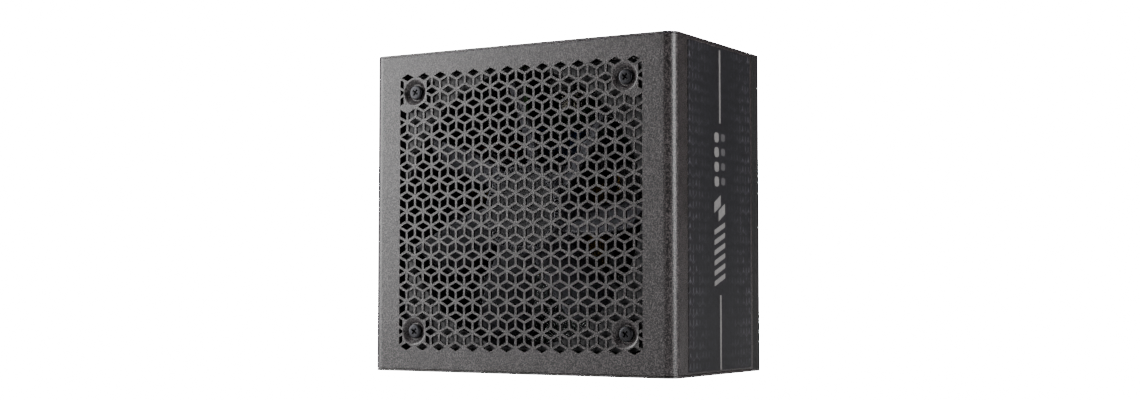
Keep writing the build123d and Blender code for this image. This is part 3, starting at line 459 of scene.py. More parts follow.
# %% Circuit board
def circuit_board(name, mask, copper):
    """Glass-epoxy board under solder mask, with copper tracks showing through as a lighter tone."""
    material, tree, shader, place = new_finish(name)
    tracks = add(tree, "TexVoronoi", {"Vector": place, "Scale": per_mm(5.0)}, distance="CHEBYCHEV",
                 feature="F1")
    edges = add(tree, "MapRange", {"Value": tracks, "From Min": 0.36, "From Max": 0.40,
                                   "To Min": 0.0, "To Max": 1.0})
    weave = add(tree, "TexNoise", {"Vector": place, "Scale": per_mm(0.6), "Detail": 2.0})
    color = add(tree, "MixRGB", {"Fac": edges, "Color1": linear(mask), "Color2": linear(copper)})
    relief = add(tree, "Bump", {"Height": edges, "Strength": 0.5, "Distance": mm(0.035)})
    rough = add(tree, "MapRange", {"Value": weave, "To Min": 0.28, "To Max": 0.44})
    drive(tree, shader, base_color=color, roughness=rough, normal=relief)
    return material


# %% Clear film
def clear_film():
    """Thin clear polyester sheet, slightly hazy from handling."""
    material, tree, shader, place = new_finish("clear_polyester_sheet")
    haze = add(tree, "TexNoise", {"Vector": place, "Scale": per_mm(6), "Detail": 4.0})
    rough = add(tree, "MapRange", {"Value": haze, "To Min": 0.06, "To Max": 0.22})
    drive(tree, shader, roughness=rough)
    shader.inputs["Base Color"].default_value = linear("dfe8e6")
    shader.inputs["Transmission Weight"].default_value = 0.92
    shader.inputs["Alpha"].default_value = 0.5
    shader.inputs["IOR"].default_value = 1.57
    return material


# %% [markdown]
# ## The list of finishes
#
# Every finish is made once here, under a name that says what it is. The colours are a darker and a lighter
# tone of the real one, and the pattern mixes them.

# %% Every finish by name
POWDER = powder_coat("textured_powder_coat", "070606", "232021", "625c5d", 0.36, 0.25)
# The base tray's coat is rougher, and its colour is darkened as painted shade.
SHADED_DULL_POWDER = powder_coat("dull_powder_coat_painted_shade", "080707", "121112", "222122", 0.62, 0.5)
FILM = label_film()
INK = print_ink("screen_print_grey", "6a6868", "787676")
INK_DIM = print_ink("screen_print_dim_grey", "434244", "4c4b4d")
# Near black for the walls inside the cover's holes: painted shade.
HOLE_WALL_SHADE = moulded("painted_shade_in_holes", "020202", "060606", 0.55)
FRAME_PLASTIC = moulded("glass_filled_pbt", "161618", "1f1f22", 0.46)
# The impeller's light grey is painted light: the frame's plastic, made much lighter so the blades show lit.
LIT_FAN_PLASTIC = moulded("glass_filled_pbt_impeller", "5c5c61", "6c6c72", 0.38)
HUB_FILM = print_ink("plain_hub_label", "29292c", "2f2f33")
NYLON = moulded("black_nylon", "111112", "19191a", 0.40)
ROCKER = moulded("polished_black_abs", "0c0c0d", "131314", 0.22, coat=0.3)
WHITE_INK = print_ink("white_pad_print", "cfcfcb", "dededa")
BLACK_ZINC = metal("black_zinc_plated_steel", "262628", "3d3d40", 0.36)
STEEL = metal("zinc_plated_steel", "8c8f93", "b4b7ba", 0.34)
TINNED = metal("tinned_brass", "a8a396", "cfcabc", 0.30)
BRONZE = metal("sintered_bronze", "7c5a2c", "a47a40", 0.5)
ALUMINIUM = metal("black_anodised_aluminium", "262728", "343536", 0.36, streak=(1, 0.05, 1))
COPPER = metal("enamelled_copper_wire", "3a1a0e", "5c2c16", 0.34)
FERRITE = moulded("sintered_ferrite", "1b1b1d", "2c2c2f", 0.62, 0.3, 0.05)
BOARD = circuit_board("dark_green_solder_mask", "08200f", "10331b")
TAPE = moulded("amber_polyester_tape", "6a520e", "7c6214", 0.32)
SLEEVE = moulded("black_shrink_sleeve", "141417", "1d1d22", 0.30, 1.5)
FILM_BOX = moulded("amber_capacitor_resin", "5c4a14", "6c581c", 0.36)
CERAMIC = moulded("blue_dipped_ceramic", "14274a", "1b3260", 0.34)
FUSE_BODY = moulded("glazed_ceramic_tube", "c9c7bf", "dedcd4", 0.22)
EPOXY = moulded("moulded_epoxy", "161617", "202022", 0.5, 0.25, 0.04)
WHITE_PLUG = moulded("natural_nylon", "c8c4b4", "dcd8c8", 0.38)
BROWN = moulded("brown_wire_sleeve", "4a2412", "5a2e18", 0.38)
BLUE = moulded("blue_wire_sleeve", "0f2750", "16305e", 0.38)
GREEN = moulded("green_wire_sleeve", "1f4210", "2a5216", 0.38)
BLACK_WIRE = moulded("black_wire_sleeve", "101011", "18181a", 0.38)
CLEAR = clear_film()
FIBRE = moulded("black_fibre_sheet", "121212", "1c1c1c", 0.6, 0.8, 0.05)
print("finishes", len(bpy.data.materials))

# %% [markdown]
# ## Dressing the CAD nodes
#
# Each node first takes the finish of what it really is. Later cells put better pieces in place of some.

# %% Finish for every node
DRESS = {
    "fan_cover": POWDER, "fan_grille": POWDER, "base_tray": SHADED_DULL_POWDER, "mains_panel": POWDER,
    "side_vent": POWDER, "front_vent": POWDER, "socket_panel": POWDER, "cover_screws": BLACK_ZINC,
    "fan_screws": BLACK_ZINC,
    "side_label": FILM, "rating_label": FILM, "fan_frame": FRAME_PLASTIC, "fan_rotor": LIT_FAN_PLASTIC,
    "rotor_yoke": STEEL, "rotor_magnet": FERRITE, "fan_shaft": STEEL, "fan_bearing": BRONZE,
    "fan_stator": COPPER, "fan_circuit_board": BOARD, "air_baffle": CLEAR, "fan_lead": BLACK_WIRE,
    "fan_plug": WHITE_PLUG, "mains_inlet": NYLON, "inlet_pins": TINNED, "switch_housing": NYLON,
    "switch_rocker": ROCKER, "switch_terminals": TINNED, "live_lead": BROWN, "neutral_lead": BLUE,
    "earth_lead": GREEN, "earth_screw": STEEL, "main_board": BOARD, "board_standoffs": BRONZE,
    "board_screws": STEEL, "insulating_sheet": FIBRE, "filter_chokes": COPPER, "x_capacitors": FILM_BOX,
    "y_capacitors": CERAMIC, "mains_fuse": FUSE_BODY, "surge_varistor": CERAMIC, "inrush_relay": EPOXY,
    "rectifier_bridge": EPOXY, "rectifier_heatsink": ALUMINIUM, "correction_choke": COPPER,
    "bulk_capacitors": SLEEVE, "primary_heatsink": ALUMINIUM, "switching_transistors": EPOXY,
    "main_transformer": FERRITE, "resonant_choke": FERRITE, "standby_transformer": FERRITE,
    "output_heatsink": ALUMINIUM, "output_capacitors": SLEEVE, "converter_board": BOARD,
    "control_board": BOARD, "bus_bars": COPPER, "socket_board": BOARD, "motherboard_sockets": NYLON,
    "eight_pin_sockets": NYLON, "six_pin_sockets": NYLON, "socket_pins": TINNED,
}
for name, node in nodes.items():
    node.data.materials.clear()
    node.data.materials.append(DRESS[name])

# %% [markdown]
# ## The perforated cover
#
# The cover and its pierced field are one sheet of steel on the real thing, so the two nodes become one piece
# with its cut edges eased. The dimples are pressed bowls with rolled lips, which the smooth shading rounds.
# The walls inside each hole get a near-black finish as painted shade, so the holes stay dark.

# %% Cover
GRILLE_LOW, GRILLE_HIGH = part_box("fan_grille")
HAIR = mm(0.01)
JOINT_DEPTH = mm(1.1)
PUNCHED_FROM, PUNCHED_TO = mm(0.05), mm(1.2)


def on_field_rim(center, normal):
    """The hidden faces where the pierced field meets the rest of the cover."""
    inside = cad_low.y - HAIR < center.y < cad_low.y + JOINT_DEPTH
    upright = abs(normal.x) > 0.9 and min(abs(center.x - GRILLE_LOW.x), abs(center.x - GRILLE_HIGH.x)) < HAIR
    level = abs(normal.z) > 0.9 and min(abs(center.z - GRILLE_LOW.z), abs(center.z - GRILLE_HIGH.z)) < HAIR
    return inside and (upright or level)


cover = eased("perforated_cover", ["fan_cover", "fan_grille"], 0.14, drop=on_field_rim)
hand_over(cover, "case", POWDER, "powder_coat", "fan_cover", "fan_grille")
cover.data.materials.append(HOLE_WALL_SHADE)
# The hole walls take the second slot, near black as painted shade.
punched = 0
for polygon in cover.data.polygons:
    center, normal = polygon.center, polygon.normal
    across = GRILLE_LOW.x < center.x < GRILLE_HIGH.x and GRILLE_LOW.z < center.z < GRILLE_HIGH.z
    if across and abs(normal.y) < 0.45 and PUNCHED_FROM < center.y - cad_low.y < PUNCHED_TO:
        polygon.material_index = 1
        punched += 1
print("faces of punched edges", punched)

# %% [markdown]
# ## Fan screws
#
# Four pan-head screws hold the fan from inside the dimples. One is turned from a cylinder, its rim bevelled
# round like a pan head, and a cross recess is cut with two crossed wedges. The other three are copies.

# %% Fan screws
SCREW_LOW, SCREW_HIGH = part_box("fan_screws")
HEAD_RADIUS = mm(3.2)
HEAD_RISE = mm(1.5)
HEAD_ROUND = mm(0.9)
CROSS_SPAN, CROSS_DEEP, CROSS_WIDE = mm(3.9), mm(2.2), mm(1.0)
CROSS_TURNS = (35, 125)
SHANK_RADIUS, SHANK_LENGTH, SHANK_POINT = mm(2.05), mm(10), mm(1.0)
SCREW_PLACES = [(x, z) for x in (SCREW_LOW.x + HEAD_RADIUS, SCREW_HIGH.x - HEAD_RADIUS)
                for z in (SCREW_LOW.z + HEAD_RADIUS, SCREW_HIGH.z - HEAD_RADIUS)]
FACING = (math.radians(90), 0, 0)


def pan_head_screw(x, z):
    """A pan-head screw along Y with its head at the lowest y of the node."""
    seat = SCREW_LOW.y + HEAD_RISE
    clear_selection()
    bpy.ops.mesh.primitive_cylinder_add(vertices=40, radius=HEAD_RADIUS, depth=HEAD_RISE, rotation=FACING,
                                        location=(x, seat - HEAD_RISE / 2, z))
    head = settle(named("pan_head"))
    edit_edges(head, lambda a, b: max(a.y, b.y) < SCREW_LOW.y + HAIR)
    bpy.ops.mesh.bevel(offset=HEAD_ROUND, segments=5, profile=0.6, affect="EDGES")
    done_editing()
    cutters = []
    for turn in CROSS_TURNS:
        bpy.ops.mesh.primitive_cube_add(size=1.0, location=(x, SCREW_LOW.y, z),
                                        scale=(CROSS_SPAN, CROSS_DEEP, CROSS_WIDE),
                                        rotation=(0, math.radians(turn), 0))
        wedge = settle(named("wedge"))
        edit_faces(wedge, lambda center, normal: normal.y > 0.9)
        bpy.ops.transform.resize(value=(0.6, 1.0, 0.6))
        done_editing()
        cutters.append(wedge)
    for wedge in cutters:
        modify(head, "BOOLEAN", operation="DIFFERENCE", solver="EXACT", object=wedge)
        bpy.data.objects.remove(wedge)
    clear_selection()
    bpy.ops.mesh.primitive_cylinder_add(vertices=24, radius=SHANK_RADIUS, depth=SHANK_LENGTH, rotation=FACING,
                                        location=(x, seat + SHANK_LENGTH / 2 - HAIR, z))
    shank = settle(named("shank"))
    edit_faces(shank, lambda center, normal: normal.y > 0.9)
    bpy.ops.mesh.inset(thickness=SHANK_POINT)
    done_editing()
    return smooth(tidy_normals(join("pan_head_screw", [head, shank])), 35)


first_screw = pan_head_screw(*SCREW_PLACES[0])
screws = [first_screw]
for x, z in SCREW_PLACES[1:]:
    copy = twin(first_screw, "pan_head_screw")
    copy.location = (x - SCREW_PLACES[0][0], 0, z - SCREW_PLACES[0][1])
    screws.append(settle(copy))
hand_over(join("pan_head_screws", screws), "case", BLACK_ZINC, "blackened_steel", "fan_screws")

# %% [markdown]
# ## Print on the two labels
#
# A thin centre line runs in from each end of the label. Between them stand plain slanted bars, a spark made
# of two bars that meet, and two rows of short dashes: decoration that says nothing. Each mark is a thin
# plate, as thick as screen-print ink looks, made from a cube whose one end is slid along to slant it. The
# label on the far side has the rules of an empty table, plain lines and two plain boxes.

# %% Label marks
INK_PROUD = 0.03
INK_SUNK = 0.02


def mark(side, y0, y1, z0, z1, slant=0.0, round_off=0.0):
    """A thin plate of ink on a side label, in millimetres. slant slides its +Y end along Z."""
    outer = LABEL_HIGH.x / MM
    middle_x = side * (outer + (INK_PROUD - INK_SUNK) / 2)
    clear_selection()
    bpy.ops.mesh.primitive_cube_add(size=1.0, location=mm(middle_x, (y0 + y1) / 2, (z0 + z1) / 2),
                                    scale=mm(INK_PROUD + INK_SUNK, y1 - y0, z1 - z0))
    plate = settle(named("mark"))
    if slant:
        edit_faces(plate, lambda center, normal: normal.y > 0.9)
        bpy.ops.transform.translate(value=(0, 0, mm(slant)))
        done_editing()
    if round_off:
        edit_edges(plate, lambda a, b: abs(a.x - b.x) > mm(INK_PROUD))
        bpy.ops.mesh.bevel(offset=mm(round_off), segments=4, affect="EDGES")
        done_editing()
    return plate


BAR_STEP = 4.3
DASH_STEP = 6.2
bright = [mark(1, -0.8, 0.7, 105.9, 137.1), mark(1, -0.8, 0.7, 2.1, 33.3)]
for k in range(6):
    bright.append(mark(1, -6.0, 4.6, 36.9 + BAR_STEP * k, 39.1 + BAR_STEP * k, slant=3.6, round_off=0.6))
bright.append(mark(1, -6.0, 0.4, 67.6, 72.2, slant=3.4, round_off=0.4))
bright.append(mark(1, -1.8, 4.6, 64.2, 68.8, slant=3.4, round_off=0.4))
dim = []
for k in range(4):
    bright.append(mark(1, -5.6, -1.2, 79.0 + DASH_STEP * k, 83.2 + DASH_STEP * k, round_off=1.4))
    dim.append(mark(1, 0.9, 4.9, 79.8 + DASH_STEP * k, 83.0 + DASH_STEP * k, round_off=1.2))
hand_over(join("label_marks", bright), "case", INK, "printed_film")
hand_over(join("label_dim_marks", dim), "case", INK_DIM, "printed_film")

# %% Rating label marks
RULE = 0.35
EDGE = 26
TABLE_LOW, TABLE_HIGH = 86, 126
LINE_STEP = 5
rules = [mark(-1, -EDGE, EDGE, z, z + RULE) for z in (TABLE_HIGH, 118, 110, 102, 94, TABLE_LOW)]
rules += [mark(-1, y, y + RULE, TABLE_LOW, TABLE_HIGH) for y in (-EDGE, -8, 9, EDGE)]
for row, z in enumerate((121, 113, 105, 97, 89)):
    for column, y in enumerate((-24, -6, 11)):
        rules.append(mark(-1, y, y + 9 + 3 * ((row + column) % 2), z, z + 1.6, round_off=0.5))
for k in range(9):
    top = 72 - LINE_STEP * k
    rules.append(mark(-1, -EDGE, 18 - 5 * (k % 3), top, top + 1.3, round_off=0.4))
rules.append(mark(-1, -EDGE, -4, 12, 22, round_off=2.0))
rules.append(mark(-1, 4, EDGE, 12, 22, round_off=2.0))
hand_over(join("rating_label_marks", rules), "case", INK_DIM, "printed_film")

# %% [markdown]
# ## Impeller
#
# Seven swept blades on a cup. A blade is a thin curved plate, so it starts as a circle whose axis is the
# blade's radius: the short arc that is kept is the blade's bowed chord. The arc is extruded outwards in
# steps, and each step flattens its pitch and lengthens its chord. Its points are then wrapped round the
# fan's axis and swept back. Solidify gives the plate its thickness and a fine bevel rounds its edges. The cup
# is a cylinder with its front rim bevelled, hollow behind, and a plain label sits in the recess in its face.

# %% Impeller sizes
ROTOR_LOW, ROTOR_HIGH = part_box("fan_rotor")
HUB_CENTRE = Vector(((ROTOR_LOW.x + ROTOR_HIGH.x) / 2, 0, middle("fan_shaft").z))
TIP = (ROTOR_HIGH.x - ROTOR_LOW.x) / 2 - mm(0.3)
HUB = mm(19.0)
HUB_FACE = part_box("fan_shaft")[0].y - mm(1.0)
BLADE_COUNT = 7
BLADE_MIDDLE = HUB_FACE + mm(10.0)
BLADE_STEPS = 9
ROOT_ANGLE = 92.0
SWEEP = 9.0
ROOT_PITCH = -44.0
UNTWIST = 2.0
CHORD_GROWTH = 1.055
CAMBER_RADIUS = mm(26)
HALF_CHORD = mm(9.6)
CAMBER_RISE = mm(1.2)
ROOT_SUNK = mm(0.8)
BLADE_THICK, BLADE_ROUND = mm(1.5), mm(0.4)
CUP_DEPTH, CUP_WALL, CUP_FACE = mm(17.0), mm(1.5), mm(2.0)
CUP_ROUND = mm(0.9)
RECESS_RIM, RECESS_DEEP = mm(3.4), mm(0.35)


# %% One blade
def fan_blade():
    """One blade, pointing along +X, with its leading edge nearest the grille."""
    root = HUB - ROOT_SUNK
    clear_selection()
    bpy.ops.mesh.primitive_circle_add(vertices=160, radius=CAMBER_RADIUS, rotation=(0, math.radians(90), 0))
    blade = settle(named("blade"))
    bpy.ops.object.mode_set(mode="EDIT")
    bpy.ops.mesh.select_mode(type="VERT")
    bpy.ops.mesh.select_all(action="DESELECT")
    done_editing()
    for vertex in blade.data.vertices:
        vertex.select = not (vertex.co.z > 0 and abs(vertex.co.y) < HALF_CHORD)
    bpy.ops.object.mode_set(mode="EDIT")
    bpy.ops.mesh.delete(type="VERT")
    bpy.ops.mesh.select_all(action="SELECT")
    bpy.ops.transform.translate(value=(root, 0, CAMBER_RISE - CAMBER_RADIUS))
    bpy.ops.transform.rotate(value=math.radians(ROOT_PITCH), orient_axis="X", center_override=(root, 0, 0))
    step = (TIP - root) / BLADE_STEPS
    for k in range(BLADE_STEPS):
        bpy.ops.mesh.extrude_region_move(TRANSFORM_OT_translate={"value": (step, 0, 0)})
        here = (root + step * (k + 1), 0, 0)
        bpy.ops.transform.resize(value=(1.0, CHORD_GROWTH, CHORD_GROWTH), center_override=here)
        bpy.ops.transform.rotate(value=math.radians(UNTWIST), orient_axis="X", center_override=here)
    done_editing()
    for vertex in blade.data.vertices:
        reach = (vertex.co.x - HUB) / (TIP - HUB)
        turn = -vertex.co.z / max(vertex.co.x, HUB) - math.radians(SWEEP) * max(reach, 0)
        radius = vertex.co.x
        vertex.co = Vector((radius * math.cos(turn), vertex.co.y, -radius * math.sin(turn)))
    modify(blade, "SOLIDIFY", thickness=BLADE_THICK, offset=0.0)
    modify(blade, "BEVEL", width=BLADE_ROUND, segments=2, limit_method="ANGLE", angle_limit=math.radians(50))
    tidy_normals(blade)
    return smooth(blade, 40)


# %% The cup and its blades
def impeller():
    """The cup and seven copies of the blade."""
    clear_selection()
    bpy.ops.mesh.primitive_cylinder_add(vertices=96, radius=HUB, depth=CUP_DEPTH, rotation=FACING,
                                        location=(HUB_CENTRE.x, HUB_FACE + CUP_DEPTH / 2, HUB_CENTRE.z))
    cup = settle(named("cup"))
    edit_faces(cup, lambda center, normal: normal.y > 0.9)
    bpy.ops.mesh.inset(thickness=CUP_WALL)
    bpy.ops.mesh.extrude_region_move(TRANSFORM_OT_translate={"value": (0, CUP_FACE - CUP_DEPTH, 0)})
    done_editing()
    edit_faces(cup, lambda center, normal: normal.y < -0.9 and center.y < HUB_FACE + HAIR)
    bpy.ops.mesh.inset(thickness=RECESS_RIM)
    bpy.ops.mesh.extrude_region_move(TRANSFORM_OT_translate={"value": (0, RECESS_DEEP, 0)})
    done_editing()
    edit_edges(cup, lambda a, b: max(a.y, b.y) < HUB_FACE + HAIR)
    bpy.ops.mesh.bevel(offset=CUP_ROUND, segments=3, affect="EDGES")
    done_editing()
    tidy_normals(cup)
    smooth(cup, 40)
    blades = []
    first = fan_blade()
    for k in range(BLADE_COUNT):
        copy = twin(first, "blade_copy")
        turn = math.radians(ROOT_ANGLE + k * 360 / BLADE_COUNT)
        copy.matrix_world = (Matrix.Translation((HUB_CENTRE.x, BLADE_MIDDLE, HUB_CENTRE.z))
                             @ Matrix.Rotation(-turn, 4, "Y"))
        blades.append(settle(copy))
    bpy.data.objects.remove(first)
    return join("seven_blade_impeller", [cup] + blades)


fan = impeller()
# The impeller's lighter plastic is painted light.
hand_over(fan, "impeller", LIT_FAN_PLASTIC, "fan_plastic", "fan_rotor")
fan.data.materials.append(HUB_FILM)
labelled = 0
for polygon in fan.data.polygons:
    reach = math.hypot(polygon.center.x - HUB_CENTRE.x, polygon.center.z - HUB_CENTRE.z)
    sunk = polygon.center.y > HUB_FACE + RECESS_DEEP / 2
    if polygon.normal.y < -0.9 and sunk and reach < HUB - RECESS_RIM + mm(0.4):
        polygon.material_index = 1
        labelled += 1
print("faces under the hub label", labelled)


# %% [markdown]
# ## Fan frame, trays and panels
#
# These shapes are right as they are, so eased copies take their place. The two vents are stamped into the
# mains panel on the real thing, so they join it, and the socket panel and the base tray stay single sheets.

# %% Eased sheets and mouldings
hand_over(eased("moulded_fan_frame", ["fan_frame"], 0.35), "case", FRAME_PLASTIC, "fan_plastic", "fan_frame")
# The base tray's darker coat is painted shade.
hand_over(eased("pressed_base", ["base_tray"], 0.18), "case", SHADED_DULL_POWDER, "powder_coat", "base_tray")
PANEL_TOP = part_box("side_vent")[1].z
VENTS = [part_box("side_vent"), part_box("front_vent")]


def on_vent_rim(center, normal):
    """The hidden faces where a vent field meets the mains panel."""
    if abs(normal.z) > 0.1 or center.z > PANEL_TOP or center.z < PANEL_TOP - JOINT_DEPTH:
        return False
    for low, high in VENTS:
        beside = low.x - HAIR < center.x < high.x + HAIR and low.y - HAIR < center.y < high.y + HAIR
        edge_x = min(abs(center.x - low.x), abs(center.x - high.x)) < HAIR and abs(normal.x) > 0.9
        edge_y = min(abs(center.y - low.y), abs(center.y - high.y)) < HAIR and abs(normal.y) > 0.9
        if beside and (edge_x or edge_y):
            return True
    return False


mains_panel = eased("pressed_mains_panel", ["mains_panel", "side_vent", "front_vent"], 0.12, drop=on_vent_rim)
hand_over(mains_panel, "case", POWDER, "powder_coat", "mains_panel", "side_vent", "front_vent")
socket_end = eased("pressed_socket_panel", ["socket_panel"], 0.12)
hand_over(socket_end, "case", POWDER, "powder_coat", "socket_panel")
flush_screws = eased("flush_cover_screws", ["cover_screws"], 0.10)
hand_over(flush_screws, "case", BLACK_ZINC, "blackened_steel", "cover_screws")

# %% [markdown]
# ## Sockets, inlet and switch
#
# Moulded nylon with small radii everywhere. Pins are stamped from tinned brass. The rocker carries the two
# plain signs for on and off, a bar and a ring, pad-printed in white.

# %% Moulded mains end and sockets
for name in ("motherboard_sockets", "eight_pin_sockets", "six_pin_sockets"):
    hand_over(eased("moulded_" + name, [name], 0.12, segments=1), "case", NYLON, "black_nylon", name)
hand_over(eased("moulded_inlet", ["mains_inlet"], 0.35), "case", NYLON, "black_nylon", "mains_inlet")
hand_over(eased("plated_inlet_pins", ["inlet_pins"], 0.15), "case", TINNED, "tinned_brass", "inlet_pins")
switch_box = eased("moulded_switch_housing", ["switch_housing"], 0.25)
hand_over(switch_box, "case", NYLON, "black_nylon", "switch_housing")
rocker = eased("moulded_rocker", ["switch_rocker"], 0.3)
hand_over(rocker, "rocker", ROCKER, "rocker_plastic", "switch_rocker")

# %% Signs on the rocker
ROCK = next(joint for joint in frame["record"]["behaviour"]["joints"] if joint["name"] == "switch_rock")
ROCKER_PIVOT = Vector(ROCK["pos_m"])
ROCKER_TILT = -8.0
HOLLOW_RADIUS = 16.0
HOLLOW_CENTRE = 19.0
SIGN_REACH = 4.2
RING_RADIUS, RING_HALF_WIDTH = mm(1.7), mm(0.28)


def rocker_sign(name, reach, build):
    """A sign laid on the rocker's hollow top, reach millimetres along Y from its pivot."""
    clear_selection()
    build()
    sign = named(name)
    drop = HOLLOW_CENTRE - math.sqrt(HOLLOW_RADIUS ** 2 - reach ** 2)
    lean = math.asin(reach / HOLLOW_RADIUS)
    flat = Matrix.Translation(mm(0, reach, drop)) @ Matrix.Rotation(lean, 4, "X")
    tilt = Matrix.Rotation(math.radians(ROCKER_TILT), 4, "X")
    sign.matrix_world = Matrix.Translation(ROCKER_PIVOT) @ tilt @ flat
    return settle(sign)


def ring():
    """The off sign: a torus squashed flat."""
    bpy.ops.mesh.primitive_torus_add(major_radius=RING_RADIUS, minor_radius=RING_HALF_WIDTH,
                                     major_segments=36, minor_segments=8)
    bpy.context.object.scale = (1.0, 1.0, 0.25)
    bpy.ops.object.transform_apply(scale=True, location=False, rotation=False)


def bar():
    """The on sign: a thin bar with its edges rounded."""
    bpy.ops.mesh.primitive_cube_add(size=1.0, scale=mm(0.55, 3.4, 0.12))
    bpy.ops.object.transform_apply(scale=True, location=False, rotation=False)
    modify(bpy.context.object, "BEVEL", width=mm(0.05), segments=2)


signs = [rocker_sign("off_ring", -SIGN_REACH, ring), rocker_sign("on_bar", SIGN_REACH, bar)]
hand_over(join("rocker_signs", signs), "rocker", WHITE_INK, "rocker_plastic")

# %% [markdown]
# ## Wound chokes
#
# A choke is a ring core with one layer of enamelled wire. The core is a torus squashed to the ring's width.
# One turn of wire is a small torus stretched to go round the core's section, and it is copied round the ring,
# close together at the hole, with a gap left where the winding's two ends come out.


# %% Chokes
WOUND_FROM, WOUND_ROUND = 200, 320


def wound_choke(centre, outer, inner, width, wire, turns):
    """A wound ring standing on the board, its axis along X, all sizes in millimetres."""
    core_middle = (outer + inner) / 2
    half = (outer - inner) / 2 - wire
    clear_selection()
    bpy.ops.mesh.primitive_torus_add(major_radius=mm(core_middle), minor_radius=mm(half), major_segments=64,
                                     minor_segments=16, rotation=(0, math.radians(90), 0))
    core = settle(named("core"))
    core.scale = ((width / 2 - wire) / half, 1.0, 1.0)
    settle(core)
    bpy.ops.mesh.primitive_torus_add(major_radius=mm(half + wire / 2), minor_radius=mm(wire / 2),
                                     major_segments=20, minor_segments=8, rotation=(math.radians(90), 0, 0))
    turn = settle(named("turn"))
    turn.scale = ((width / 2 - wire / 2) / (half + wire / 2), 1.0, 1.0)
    settle(turn)
    wires = []
    for k in range(turns):
        angle = math.radians(WOUND_FROM + WOUND_ROUND * (k + 0.5) / turns)
        copy = twin(turn, "turn_copy")
        copy.matrix_world = Matrix.Rotation(angle, 4, "X") @ Matrix.Translation(mm(0, 0, core_middle))
        wires.append(settle(copy))
    bpy.data.objects.remove(turn)
    winding = join("winding", wires)
    for piece in (core, winding):
        piece.location = centre
        settle(smooth(piece, 60))
    return core, winding


def chokes(name, node, outer, inner, width, wire, turns, count):
    """Puts wound chokes where a node's rings stand, side by side along X."""
    low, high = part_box(node)
    cores, windings = [], []
    for k in range(count):
        x = low.x + mm(width / 2) + (high.x - low.x - mm(width)) * (k / max(count - 1, 1))
        place = Vector((x, (low.y + high.y) / 2, (low.z + high.z) / 2))
        core, winding = wound_choke(place, outer, inner, width, wire, turns)
        cores.append(core)
        windings.append(winding)
    hand_over(join(name + "_winding", windings), "case", COPPER, "copper_wire", node)
    hand_over(join(name + "_core", cores), "case", FERRITE, "ferrite")


chokes("filter_choke", "filter_chokes", 12, 6, 11, 1.2, 26, 2)
chokes("correction_choke", "correction_choke", 15, 7, 16, 1.5, 28, 1)

# %% [markdown]
# ## Capacitors, transformers and heatsinks
#
# Cans wear a shrink sleeve folded over the rim, with the bare vented top showing inside it. Each top is a
# disc, sunk inside its rim, with a scored cross cut by booleans so that it takes light. Transformers have
# turns of tape round the coil, so a bevelled band sits on each.


# %% Capacitor tops
TOP_THICK, TOP_PROUD = mm(0.3), mm(0.13)
RIM_SHARE, RIM_DEEP = 0.12, mm(0.12)
SCORE_SHARE, SCORE_PROUD, SCORE_DEEP, SCORE_WIDE = 1.2, mm(0.16), mm(0.2), mm(0.35)


def can_top(x, z, y, radius):
    """A vented aluminium top, facing the fan."""
    clear_selection()
    bpy.ops.mesh.primitive_cylinder_add(vertices=40, radius=radius, depth=TOP_THICK, rotation=FACING,
                                        location=(x, y - TOP_PROUD, z))
    top = settle(named("can_top"))
    edit_faces(top, lambda center, normal: normal.y < -0.9)
    bpy.ops.mesh.inset(thickness=radius * RIM_SHARE)
    bpy.ops.transform.translate(value=(0, RIM_DEEP, 0))
    done_editing()
    for turn in (0, 90):
        bpy.ops.mesh.primitive_cube_add(size=1.0, location=(x, y - SCORE_PROUD, z),
                                        rotation=(0, math.radians(turn), 0),
                                        scale=(radius * SCORE_SHARE, SCORE_DEEP, SCORE_WIDE))
        score = settle(named("score"))
        modify(top, "BOOLEAN", operation="DIFFERENCE", solver="EXACT", object=score)
        bpy.data.objects.remove(score)
    return smooth(top, 30)


BULK_LOW, BULK_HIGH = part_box("bulk_capacitors")
OUT_LOW, OUT_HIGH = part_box("output_capacitors")
LARGE_CAN, LARGE_TOP = mm(14), mm(12.6)
SECOND_CAN, SECOND_TOP, SECOND_IN = mm(9), mm(8.0), mm(18.5)
SMALL_CAN, SMALL_TOP, SMALL_STEP = mm(4.2), mm(3.4), 10
tops = [can_top(BULK_LOW.x + LARGE_CAN, BULK_HIGH.z - LARGE_CAN, BULK_LOW.y, LARGE_TOP),
        can_top(BULK_LOW.x + SECOND_IN, BULK_LOW.z + SECOND_CAN, BULK_LOW.y, SECOND_TOP)]
small = can_top(OUT_LOW.x + SMALL_CAN, OUT_LOW.z + SMALL_CAN, OUT_LOW.y, SMALL_TOP)
for i in range(3):
    for j in range(2):
        copy = twin(small, "can_top")
        copy.location = mm(SMALL_STEP * i, 0, SMALL_STEP * j)
        tops.append(settle(copy))
bpy.data.objects.remove(small)
hand_over(join("vented_can_tops", tops), "case", STEEL, "capacitor_sleeve")


# %% Transformer tape
TAPE_PROUD, TAPE_ROUND = mm(0.5), mm(2.4)
TAPE_TALL, TAPE_WIDE = 0.56, 0.5


def tape_band(node):
    """A band of tape round a transformer's coil, just proud of it at the sides."""
    low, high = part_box(node)
    size = high - low
    clear_selection()
    bpy.ops.mesh.primitive_cube_add(size=1.0, location=(low + high) / 2,
                                    scale=(size.x + TAPE_PROUD, size.y * TAPE_TALL, size.z * TAPE_WIDE))
    band = settle(named("tape_band"))
    edit_edges(band, lambda a, b: abs(a.z - b.z) > mm(2))
    bpy.ops.mesh.bevel(offset=TAPE_ROUND, segments=5, affect="EDGES")
    done_editing()
    return smooth(band, 40)


bands = [tape_band(name) for name in ("main_transformer", "resonant_choke", "standby_transformer")]
hand_over(join("transformer_tape", bands), "case", TAPE, "moulded_epoxy")

